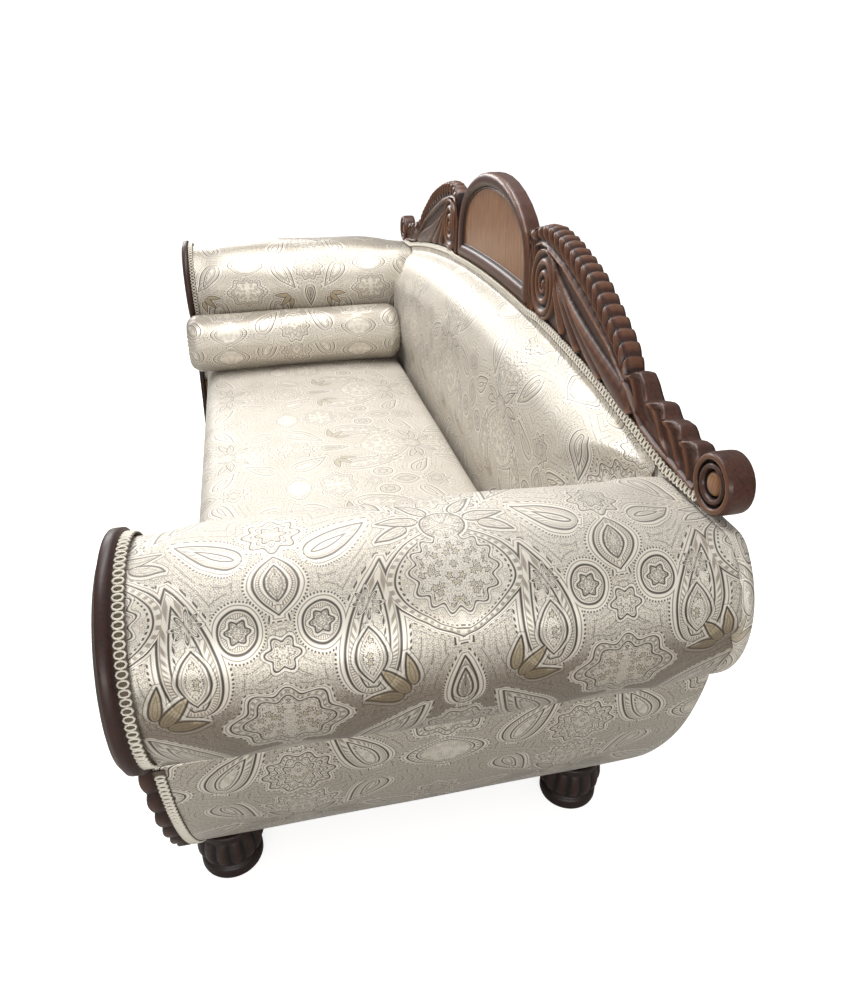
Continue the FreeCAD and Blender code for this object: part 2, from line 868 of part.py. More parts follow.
def wing_carving():
    carved = [wing_spine()]
    top = wing_top(wing_gadroons + 1)
    for i in range(wing_gadroons):
        pitch = math.hypot(top[i + 1][0] - top[i][0], top[i + 1][1] - top[i][1])
        tip = along_normal(top[i], top[i + 1], 0.6 * gadroon_rise)
        root = along_normal(top[i], top[i + 1], -gadroon_length)
        radius = 0.44 * pitch
        carved.append(drop(crest_front, root, tip, 3.0, radius, crest_relief))
    for i, tip in enumerate(petal_tips):
        radius = 12.0 + 1.2 * i
        angle = math.atan2(tip[1] - petal_root[1], tip[0] - petal_root[0])
        root = (petal_root[0] + 22 * math.cos(angle), petal_root[1] + 22 * math.sin(angle))
        carved.append(drop(crest_front, root, tip, 2.0, radius, crest_relief))
    leaf_root = wing_point(0.925, 0.060)
    for i, tip in enumerate(leaf_tips):
        radius = 15.0 - 1.5 * i
        root = (leaf_root[0] - 8 * (3 - i), leaf_root[1] + 3 * i)
        carved.append(drop(crest_front, root, tip, 3.0, radius, crest_relief))
    carved.append(spiral_band(crest_front, volute_centre, volute_radius, volute_eye_radius + 2 * volute_bead,
                              volute_half_turns, volute_bead, crest_relief, 1))
    for i in range(2):
        x = wing_start + 5.5 + 10.5 * i
        low = crest_line(x) + 12
        high = wing_shoulder[1] - 12
        carved.append(drop(crest_front, (x, low), (x, high), 4.0, 5.0, crest_relief))
    return carved


def make_wing():
    scroll_front = crest_front - crest_relief
    floor = scroll_front + scroll_recess
    scroll = disc(scroll_centre, scroll_radius, scroll_front, scroll_front + scroll_thickness)
    wing = wing_board().fuse([scroll] + wing_carving())
    recess = disc(scroll_centre, 0.72 * scroll_radius, scroll_front, floor)
    groove = disc(scroll_centre, 0.56 * scroll_radius, floor, floor + scroll_groove)
    core = disc(scroll_centre, scroll_eye_radius, floor, floor + scroll_groove)
    wing = wing.cut([recess, groove.cut(core)])
    return wing.cut(crest_mortises()).removeSplitter()


def make_scroll_eye():
    floor = crest_front - crest_relief + scroll_recess
    rings = []
    for share, up in ((1.0, 0.0), (1.0, 0.4), (0.75, 0.85), (0.4, 1.0)):
        ring = turn_points(scroll_centre, share * scroll_eye_radius, 0, 360, disc_sides)[1:]
        rings.append([vec(x, floor - up * scroll_recess, z) for x, z in ring])
    return faceted(rings)


# Points at even steps along an arc through three points
def arc_points(start, way, end, runs):
    arc = Part.Arc(vec(start[0], 0, start[1]), vec(way[0], 0, way[1]), vec(end[0], 0, end[1])).toShape()
    return [(p.x, p.z) for p in arc.discretize(Number=runs + 1)]


# Outline of the tablet, or of its opening when drawn in by the frame's width
def tablet_ring(y, side_in, foot_in):
    half = tablet_half_width - side_in
    shoulder_z = crest_base_height + tablet_shoulder_height - 0.8 * side_in
    shoulder = (tablet_shoulder_x - 0.45 * side_in, shoulder_z)
    apex = (0, crest_base_height + tablet_height - 0.8 * side_in)
    foot = (half, crest_line(half) + foot_in)
    side_way_x = (half + shoulder[0]) / 2 + 3 * tablet_side_bulge
    side_way = (side_way_x, (foot[1] + shoulder[1]) / 2 + tablet_side_bulge)
    arch = arc_points(shoulder, apex, (-shoulder[0], shoulder[1]), arch_runs)
    right = arc_points(foot, side_way, shoulder, arch_runs // 2)
    left = [(-x, z) for x, z in right[::-1]]
    sole = [(half * (i / 3 - 1), crest_line(abs(half * (i / 3 - 1))) + foot_in) for i in range(7)]
    return [vec(x, y, z) for x, z in sole[:-1] + right[:-1] + arch[:-1] + left[:-1]]


tablet_front = crest_front - (tablet_thickness - crest_thickness)
panel_front = tablet_front + tablet_moulding


def make_tablet_frame():
    tablet_back = tablet_front + tablet_thickness
    frame = faceted([tablet_ring(tablet_front, 0, clearance), tablet_ring(tablet_back, 0, clearance)])
    foot_in = tablet_foot_width
    side_in = tablet_frame_width
    opening = faceted([
        tablet_ring(tablet_front, side_in - tablet_moulding, foot_in - tablet_moulding),
        tablet_ring(panel_front, side_in, foot_in),
    ])
    rebate = faceted([
        tablet_ring(panel_front, side_in - panel_rebate, foot_in - panel_rebate),
        tablet_ring(tablet_back, side_in - panel_rebate, foot_in - panel_rebate),
    ])
    return frame.cut([opening, rebate]).cut(crest_mortises()).removeSplitter()


def make_tablet_panel():
    side_in = tablet_frame_width - panel_rebate + glue_gap
    foot_in = tablet_foot_width - panel_rebate + glue_gap
    return faceted([
        tablet_ring(panel_front, side_in, foot_in),
        tablet_ring(panel_front + panel_thickness, side_in, foot_in),
    ])


# Loose tenons that fix the crest to the back's top rail
def crest_tenon_places():
    wing_one = wing_start + 0.25 * (frame_half_length - wing_start)
    wing_two = wing_start + 0.8 * (frame_half_length - wing_start)
    half = [tablet_half_width * 0.6, wing_one, wing_two]
    return [-x for x in half] + half


crest_tenon_y = crest_front + 0.6 * crest_thickness


def make_crest_tenon(x, fit):
    middle = crest_line(abs(x))
    half = crest_tenon_width / 2 + fit
    y0 = crest_tenon_y - fit
    y1 = crest_tenon_y + crest_tenon_thickness + fit
    return box(x - half, x + half, y0, y1, middle - crest_tenon_below - fit, middle + crest_tenon_above + fit)


def crest_mortises():
    return [make_crest_tenon(x, glue_gap) for x in crest_tenon_places()]


# Seat upholstery

web_shares = [-0.816, -0.653, -0.51, -0.163, 0.0, 0.163, 0.51, 0.653, 0.816]
web_columns = [share * frame_half_length for share in web_shares]
spring_columns = web_columns[::2]
seat_clear_depth = rail_front_of_back - rail_back_of_front
spring_rows = [rail_back_of_front + 0.28 * seat_clear_depth, rail_back_of_front + 0.72 * seat_clear_depth]
web_rows = [spring_rows[0], (spring_rows[0] + spring_rows[1]) / 2, spring_rows[1]]


def make_seat_webs():
    webs = []
    for x in web_columns:
        webs.append(box(x - web_width / 2, x + web_width / 2, rail_back_of_front - cloth_lap, rail_front_of_back + cloth_lap,
                        rail_bottom - web_thickness, rail_bottom))
    for y in web_rows:
        webs.append(box(-frame_half_length - cloth_lap, frame_half_length + cloth_lap, y - web_width / 2, y + web_width / 2,
                        rail_bottom - 2 * web_thickness, rail_bottom - web_thickness))
    return Part.makeCompound(webs)


def make_bottom_cloth():
    top = rail_bottom - 2 * web_thickness
    notch = foot_body_radius + 4
    short = foot_x - notch
    full = frame_half_length + cloth_lap
    low = rail_back_of_front - cloth_lap
    high = rail_front_of_back + cloth_lap
    corners = [
        (short, low),
        (short, foot_front_y + notch),
        (full, foot_front_y + notch),
        (full, foot_back_y - notch),
        (short, foot_back_y - notch),
        (short, high),
    ]
    corners += [(-x, y) for x, y in reversed(corners)]
    wire = outline(in_xy(top - cloth_thickness), corners[-1], [(point,) for point in corners])
    return prism(wire, vec(0, 0, cloth_thickness))


# A waisted coil spring of square wire, from short straight runs
def make_spring(x, y):
    half = spring_wire / 2
    z0 = rail_bottom + half + clearance
    z1 = springs_top - half - clearance
    count = spring_turns * spring_sides
    rings = []
    for i in range(count + 1):
        share = i / count
        radius = spring_radius - (spring_radius - spring_waist) * math.sin(math.pi * share)
        angle = 360.0 * i / spring_sides
        z = z0 + (z1 - z0) * share
        near = polar((x, y), radius - half, angle)
        far = polar((x, y), radius + half, angle)
        rings.append([vec(*near, z - half), vec(*far, z - half), vec(*far, z + half), vec(*near, z + half)])
    return faceted(rings)


def make_hessian():
    return box(-seat_half_length + 4, seat_half_length - 4, seat_front + seat_lip_thickness + 2, seat_back - 2,
               springs_top, hessian_top)


# Section of the seat's stuffing, with its front edge built down to the rail
def seat_section(x, drop_top, draw_in):
    top = seat_height - drop_top
    edge = 16.0
    front = seat_front + draw_in
    back = seat_back - draw_in
    lip = seat_front + seat_lip_thickness
    low = rail_top + clearance
    start = (front + 6, low)
    steps = [
        ((front, (low + top) / 2), (front + 5, top - 2.2 * edge)),
        ((front + 8, top - edge), (front + 2.4 * edge, top - 0.3 * edge)),
        (((front + back) / 2, top), (back - edge, top - 0.4 * edge)),
        ((back - 0.3 * edge, top - edge),),
        ((back, top - 2 * edge),),
        ((back, hessian_top),),
        ((lip, hessian_top),),
        ((lip, low),),
        (start,),
    ]
    return outline(in_yz(x), start, steps)


def make_seat_pad():
    stations = [
        (1.0, 20.0, 3.0),
        (0.985, 9.0, 1.5),
        (0.955, 3.5, 0.8),
        (0.91, 0.6, 0.2),
        (0.5, 0.0, 0.0),
    ]
    stations += [(-s, d, w) for s, d, w in reversed(stations)]
    sections = [seat_section(s * seat_half_length, d, w) for s, d, w in stations]
    return Part.makeLoft(sections, True, True)


# The bolster lies across the left end of the seat, against the arm
bolster_x = -(roll_x - roll_radius - bolster_radius - 2.5)
bolster_front = front_plane + 1.0
bolster_length = seat_back - bolster_front - bolster_back_gap


def make_bolster():
    z = seat_height + bolster_radius + clearance
    length = bolster_length
    profile = [
        (0.6 * bolster_radius, 0),
        (0.94 * bolster_radius, 0.45 * bolster_dome),
        (bolster_radius, bolster_dome),
        (bolster_radius, length - bolster_dome),
        (0.94 * bolster_radius, length - 0.45 * bolster_dome),
        (0.6 * bolster_radius, length),
    ]
    rings = []
    for radius, along in profile:
        ring = turn_points((bolster_x, z), radius, 0, 360, bolster_sides)[1:]
        rings.append([vec(u, bolster_front + along, v) for u, v in ring])
    return faceted(rings)


# Gimp braid

def make_back_gimp():
    low_y = pad_back - back_pad_top - gimp_thickness - clearance
    half = crest_base_half - 25
    steps = [
        ((0, crest_line(0, clearance)), (half, crest_line(half, clearance))),
        ((half, crest_line(half, gimp_width)),),
        ((0, crest_line(0, gimp_width)), (-half, crest_line(half, gimp_width))),
        ((-half, crest_line(half, clearance)),),
    ]
    wire = outline(in_xz(low_y), (-half, crest_line(half, clearance)), steps)
    return prism(wire, vec(0, gimp_thickness, 0))


def make_arm_gimp():
    roll = (roll_x, roll_z)
    first = crease_angle + 4
    outer = turn_points(roll, roll_radius, first, inner_angle, roll_runs)
    inner = turn_points(roll, roll_radius - gimp_thickness, first, inner_angle, roll_runs)
    steps = [(point,) for point in outer[1:] + inner[::-1] + outer[:1]]
    return prism(outline(in_xz(post_front), outer[0], steps), vec(0, gimp_width, 0))


def make_side_gimp():
    low = rail_bottom + 2
    high = side_top - 6
    levels = [low + (high - low) * i / core_runs for i in range(core_runs + 1)]
    inner = [side_point(-clearance, z) for z in levels]
    outer = [side_point(-clearance - gimp_thickness, z) for z in levels]
    steps = [(point,) for point in outer[1:] + inner[::-1] + outer[:1]]
    return prism(outline(in_xz(post_front), outer[0], steps), vec(0, gimp_width, 0))


def make_rail_gimp():
    y1 = seat_front - clearance
    half = facing_foot_x - clearance
    return box(-half, half, y1 - gimp_thickness, y1, rail_top, rail_top + gimp_width)


# Build every piece

nodes = {}


def pair(name, shape):
    nodes["right_" + name] = shape
    nodes["left_" + name] = mirrored(shape)


nodes["front_seat_rail"] = make_front_rail()
nodes["back_seat_rail"] = long_rail(rail_front_of_back, frame_back)
pair("seat_rail", make_side_rail())
nodes["seat_cross_braces"] = Part.makeCompound([make_brace(-brace_x), make_brace(brace_x)])
nodes["corner_blocks"] = Part.makeCompound([
    make_corner_block(side, y, inward)
    for side in (-1, 1)
    for y, inward in ((rail_back_of_front, 1), (rail_front_of_back, -1))
])
for side, hand in ((-1, "left"), (1, "right")):
    nodes["front_" + hand + "_foot"] = make_foot(side * foot_x, foot_front_y)
    nodes["back_" + hand + "_foot"] = make_foot(side * foot_x, foot_back_y)

front_rail_middle = (facing_back + rail_back_of_front) / 2
top_rail_body, top_rail_tenons = make_arm_top_rail(0)
top_rail_mortises = make_arm_top_rail(glue_gap)[1]
tack_rail_body, tack_rail_tenons = make_arm_tack_rail(0)
tack_rail_mortises = make_arm_tack_rail(glue_gap)[1]
front_side_mortise = side_tenon(post_inner_front - side_tenon_length - glue_gap, post_inner_front, glue_gap)
back_side_mortise = side_tenon(post_inner_back, post_inner_back + side_tenon_length + glue_gap, glue_gap)
pair("front_post", make_post(post_front).cut(
    [rail_tenon(1, front_rail_middle, glue_gap), front_side_mortise] + top_rail_mortises + tack_rail_mortises))
pair("arm_back_post", make_post(post_inner_back).cut(
    [back_side_mortise] + top_rail_mortises + tack_rail_mortises))
pair("arm_top_rail", top_rail_body.fuse(top_rail_tenons).removeSplitter())
pair("arm_tack_rail", tack_rail_body.fuse(tack_rail_tenons).removeSplitter())
pair("arm_facing", make_facing())
pair("arm_rosette", make_rosette())
pair("arm_pad", make_arm_pad())
pair("outside_arm", make_outside_arm())
pair("arm_end_cover", make_arm_end_cover())

back_rail_middle = (rail_front_of_back + frame_back) / 2
upright = under_crest(frame_half_length, upright_outer, frame_front_of_back, frame_back, rail_bottom)
pair("back_upright", upright.cut(rail_tenon(1, back_rail_middle, glue_gap)))
nodes["back_top_rail"] = make_back_top_rail().cut(crest_mortises())
nodes["back_tack_rail"] = box(-frame_half_length, frame_half_length, frame_front_of_back, frame_back,
                              back_tack_z0, back_tack_z1)
nodes["back_muntins"] = Part.makeCompound([make_muntin(-muntin_x), make_muntin(muntin_x)])
nodes["back_webbing"] = Part.makeCompound([
    box(x - web_width / 2, x + web_width / 2, web_back - web_thickness, web_back,
        back_tack_z0 + 10, crest_line(abs(x) + web_width / 2, 20))
    for x in web_columns
])
nodes["back_pad"] = make_back_pad()
nodes["outside_back"] = make_outside_back()

wing = make_wing()
nodes["crest_right_wing"] = wing
nodes["crest_left_wing"] = mirrored(wing)
nodes["crest_tablet_frame"] = make_tablet_frame()
nodes["crest_tablet_panel"] = make_tablet_panel()
scroll_eye = make_scroll_eye()
nodes["crest_right_scroll_eye"] = scroll_eye
nodes["crest_left_scroll_eye"] = mirrored(scroll_eye)
nodes["crest_tenons"] = Part.makeCompound([make_crest_tenon(x, 0) for x in crest_tenon_places()])

nodes["seat_webbing"] = make_seat_webs()
nodes["seat_springs"] = Part.makeCompound([make_spring(x, y) for x in spring_columns for y in spring_rows])
nodes["seat_hessian"] = make_hessian()
nodes["seat_pad"] = make_seat_pad()
nodes["bottom_cloth"] = make_bottom_cloth()
nodes["bolster"] = make_bolster()
nodes["back_gimp"] = make_back_gimp()
pair("arm_gimp", make_arm_gimp())
pair("side_gimp", make_side_gimp())
nodes["front_rail_gimp"] = make_rail_gimp()

for name, shape in nodes.items():
    shape.exportStep("parts/" + name + ".step")
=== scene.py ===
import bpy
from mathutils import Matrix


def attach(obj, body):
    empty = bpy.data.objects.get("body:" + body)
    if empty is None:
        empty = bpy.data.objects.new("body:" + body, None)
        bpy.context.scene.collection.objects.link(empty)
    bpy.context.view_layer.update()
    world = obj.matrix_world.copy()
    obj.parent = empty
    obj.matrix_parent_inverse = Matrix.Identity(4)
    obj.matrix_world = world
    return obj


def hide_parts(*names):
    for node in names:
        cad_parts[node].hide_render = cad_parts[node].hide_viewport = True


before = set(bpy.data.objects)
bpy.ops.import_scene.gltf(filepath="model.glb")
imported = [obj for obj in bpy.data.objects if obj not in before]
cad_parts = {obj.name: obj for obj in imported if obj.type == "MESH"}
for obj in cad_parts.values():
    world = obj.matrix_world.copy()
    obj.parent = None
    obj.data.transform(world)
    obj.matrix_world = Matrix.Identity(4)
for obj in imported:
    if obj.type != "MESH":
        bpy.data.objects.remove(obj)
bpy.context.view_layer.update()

import ast
import math

import bmesh
import bpy
import numpy as np
from mathutils import Matrix, Vector

bpy.ops.object.select_all(action="DESELECT")
scene = bpy.context.scene
scene.view_settings.view_transform = "Standard"

# camera at the photograph's place, metres and degrees
photoView = {"place": (1.6575, -0.1874, 1.1633), "yaw": 13.49, "pitch": 28.86, "roll": 0.44, "lens": 27.22}


def addCamera():
    yaw, pitch, roll = (math.radians(photoView[key]) for key in ("yaw", "pitch", "roll"))
    level = Vector((-math.cos(yaw), math.sin(yaw), 0))
    right = Vector((math.sin(yaw), math.cos(yaw), 0))
    upright = Vector((0, 0, 1))
    ahead = math.cos(pitch) * level - math.sin(pitch) * upright
    up = math.sin(pitch) * level + math.cos(pitch) * upright
    turnedRight = math.cos(roll) * right + math.sin(roll) * up
    turnedUp = math.cos(roll) * up - math.sin(roll) * right
    bpy.ops.object.camera_add()
    camera = bpy.context.object
    camera.name = "photoCamera"
    camera.data.sensor_width = 36
    camera.data.lens = photoView["lens"]
    camera.data.clip_start = 0.02
    turn = Matrix((turnedRight, turnedUp, -ahead)).transposed().to_4x4()
    camera.matrix_world = Matrix.Translation(photoView["place"]) @ turn
    scene.camera = camera


# one small function for every node: its settings, then its sockets, linked or set
def addNode(tree, kind, settings=None, sockets=None):
    node = tree.nodes.new(kind)
    for name, value in (settings or {}).items():
        setattr(node, name, value)
    for key, value in (sockets or {}).items():
        if isinstance(value, bpy.types.NodeSocket):
            tree.links.new(value, node.inputs[key])
        else:
            node.inputs[key].default_value = value
    return node


# arithmetic written as text becomes Math nodes
def formula(tree, text, **given):
    signs = {ast.Add: "ADD", ast.Sub: "SUBTRACT", ast.Mult: "MULTIPLY", ast.Div: "DIVIDE",
             ast.Mod: "FLOORED_MODULO", ast.Pow: "POWER"}
    words = {"abs": "ABSOLUTE", "sqrt": "SQRT", "cos": "COSINE", "sin": "SINE", "floor": "FLOOR",
             "bearing": "ARCTAN2", "least": "MINIMUM", "most": "MAXIMUM", "over": "GREATER_THAN",
             "share": "ADD"}

    def work(item):
        if isinstance(item, ast.Constant):
            return float(item.value)
        if isinstance(item, ast.Name):
            return given[item.id]
        if isinstance(item, ast.BinOp):
            settings = {"operation": signs[type(item.op)]}
            parts = [work(item.left), work(item.right)]
        elif isinstance(item, ast.UnaryOp):
            settings = {"operation": "MULTIPLY"}
            parts = [work(item.operand), -1.0]
        else:
            settings = {"operation": words[item.func.id]}
            parts = [work(part) for part in item.args]
            if item.func.id == "share":  # limited to 0..1
                settings["use_clamp"] = True
                parts.append(0.0)
        return addNode(tree, "ShaderNodeMath", settings, dict(enumerate(parts))).outputs[0]

    return work(ast.parse(text).body[0].value)


def hexColour(text):
    parts = [int(text[i:i + 2], 16) / 255 for i in (1, 3, 5)]
    return tuple(p / 12.92 if p <= 0.04045 else ((p + 0.055) / 1.055) ** 2.4 for p in parts) + (1.0,)


def newMaterial(name, **sockets):
    material = bpy.data.materials.new(name)
    material.use_nodes = True
    tree = material.node_tree
    tree.nodes.clear()
    shader = addNode(tree, "ShaderNodeBsdfPrincipled", None, sockets)
    addNode(tree, "ShaderNodeOutputMaterial", None, {"Surface": shader.outputs[0]})
    return material, tree, shader


# colour layers, each a share of one tint over what lies below
def paint(tree, tint, base, layers, **given):
    colour = tint[base]
    for text, name in layers:
        amount = formula(tree, text, **given)
        colour = addNode(tree, "ShaderNodeMix", {"data_type": "RGBA"},
                         {0: amount, 6: colour, 7: tint[name]}).outputs[2]
    return colour


def linkLook(tree, shader, colour, roughness, height, strength, depth):
    bump = addNode(tree, "ShaderNodeBump", None,
                   {"Strength": strength, "Distance": depth, "Height": height}).outputs[0]
    for key, value in (("Base Color", colour), ("Roughness", roughness), ("Normal", bump)):
        tree.links.new(value, shader.inputs[key])


# satin jacquard: a woven paisley in ivory, silver, taupe and olive; long floats give it a broad pale shine
satinCloth = {
    "repeatAcross": 385.0, "repeatUp": 450.0,  # mm
    "ivory": "#e6dfd2", "warmIvory": "#d8cebd", "taupe": "#857869", "dark": "#463e36", "olive": "#a08a55",
    # the next tint is painted shade, laid where the cloth is darkened for shade
    "paintedShadeTaupe": "#54432f",
    # the last tint on the next line is painted sheen, a pale wash over the cloth
    "gold": "#bfb08c", "silver": "#cbc4b6", "paintedHighlight": "#f0eae1",
    "stippleSpacing": 2.1,  # mm, the weave's dots drawn coarser than they are, so that they show
    "flowerSpacing": 12.0,  # mm
    "ribSpacing": 2.4,  # mm, satin ribs, coarser than the real 0.4 mm
}
# kind, column, mm along and up in the repeat, sizes; the second list lies on the first and ends in a tone
largeMotifs = [("bloom", "a", 0, 55, 42, 4, 10, 1.0), ("boteh", "a", 0, 128, 0, 15, 66, 0),
               ("shield", "a", 0, 264, 80, 63, 76), ("bloom", "a", 0, 398, 48, 6, 12, 0.9),
               ("boteh", "a", 102, 182, 4, 30, 146, -14), ("boteh", "a", 143, 322, 72, 17, 80, 18),
               ("boteh", "a", 92, 62, 14, 25, 94, -30), ("boteh", "a", 98, 432, 172, 21, 74, 26),
               ("bloom", "b", 0, 130, 56, 6, 8, 1.9), ("bloom", "b", 43, 238, 20, 0, 0, 0.8),
               ("shield", "b", 0, 284, 24, 34, 34), ("bloom", "b", 0, 356, 28, 4, 8, 1.0),
               ("shield", "b", 0, 46, 52, 36, 34)]
smallMotifs = [("shield", "a", 102, 192, 17, 26, 34, 3), ("bloom", "a", 100, 250, 10, 5, 8, 0.8, 0),
               ("boteh", "a", 68, 150, -38, 8, 48, 4, 2), ("boteh", "a", 76, 142, -80, 7, 42, 4, 2),
               ("boteh", "a", 58, 160, -6, 7, 40, 3, 2), ("bloom", "a", 0, 274, 47, 4, 14, 1.15, 3),
               ("bloom", "a", 0, 338, 26, 0, 0, 1.2, 1), ("boteh", "a", 0, 131, 0, 9, 42, 0, 1),
               ("boteh", "a", 36, 348, -78, 9, 48, 6, 0), ("boteh", "a", 50, 334, -108, 8, 42, 5, 0),
               ("boteh", "a", 20, 366, -36, 8, 44, 5, 0), ("bloom", "b", 0, 130, 44, 5, 8, 1.9, 3),
               ("bloom", "b", 43, 238, 11, 2, 6, 1.0, 1), ("bloom", "b", 0, 211, 16, 3, 6, 1.0, 3),
               ("bloom", "b", 0, 356, 14, 3, 6, 1.0, 1), ("shield", "b", 0, 284, 12, 20, 22, 1),
               ("bloom", "a", 0, 55, 22, 4, 8, 1.0, 3), ("bloom", "a", 0, 402, 24, 4, 8, 1.1, 3)]


# mm from a point of the cloth to the nearest motif's edge, the bearing round that motif, and its tone
def nearestMotif(tree, motifs, columns, w):
    reach, turn, tone = 200.0, 0.0, 0.0
    for kind, column, along, up, *size in motifs:
        dx = formula(tree, "x - along", x=columns[column], along=float(along)) if along else columns[column]
        dz = formula(tree, "w - up", w=w, up=float(up))
        spin = formula(tree, "bearing(dz, dx)", dz=dz, dx=dx)
        if kind == "bloom":
            radius, lobe, count, squeeze = map(float, size[:4])
            text = "0.85 * (sqrt(dx * dx + dz * dz * squeeze) - radius - lobe * cos(spin * count))"
            text = text if lobe else "0.85 * (sqrt(dx * dx + dz * dz * squeeze) - radius)"
            far = formula(tree, text, dx=dx, dz=dz, squeeze=squeeze, radius=radius, lobe=lobe, spin=spin,
                          count=count)
            own = size[4:]
        elif kind == "shield":
            half, low, high = map(float, size[:3])
            t = formula(tree, "least(most(-dz / low, dz / high), 1)", dz=dz, low=low, high=high)
            far = formula(tree, "most(0.7 * (abs(dx) - half * (1 - abs(t) ** 1.9)),"
                          " most(-dz - low, dz - high))",
                          dx=dx, dz=dz, t=t, half=half, low=low, high=high)
            own = size[3:]
        else:
            lean, radius, length, hook = map(float, size[:4])
            c, k = math.cos(math.radians(lean)), math.sin(math.radians(lean))
            side = formula(tree, "dx * c + dz * k", dx=dx, dz=dz, c=c, k=k)
            high = formula(tree, "dz * c - dx * k + radius", dx=dx, dz=dz, c=c, k=k, radius=radius)
            rise = formula(tree, "high / length", high=high, length=length)
            far = formula(tree, "most(0.7 * (abs(side - hook * rise * rise)"
                          " - full * sqrt(most(rise, 0)) * (1 - rise)), most(-high, high - length))",
                          side=side, high=high, rise=rise, hook=hook, full=2.6 * radius, length=length)
            own = size[4:]
        nearer = formula(tree, "over(reach, far)", reach=reach, far=far)
        turn = formula(tree, "turn + (spin - turn) * nearer", turn=turn, spin=spin, nearer=nearer)
        if own:
            tone = formula(tree, "tone + (own - tone) * nearer", tone=tone, own=float(own[0]), nearer=nearer)
        reach = formula(tree, "least(reach, far)", reach=reach, far=far)
    return reach, turn, tone


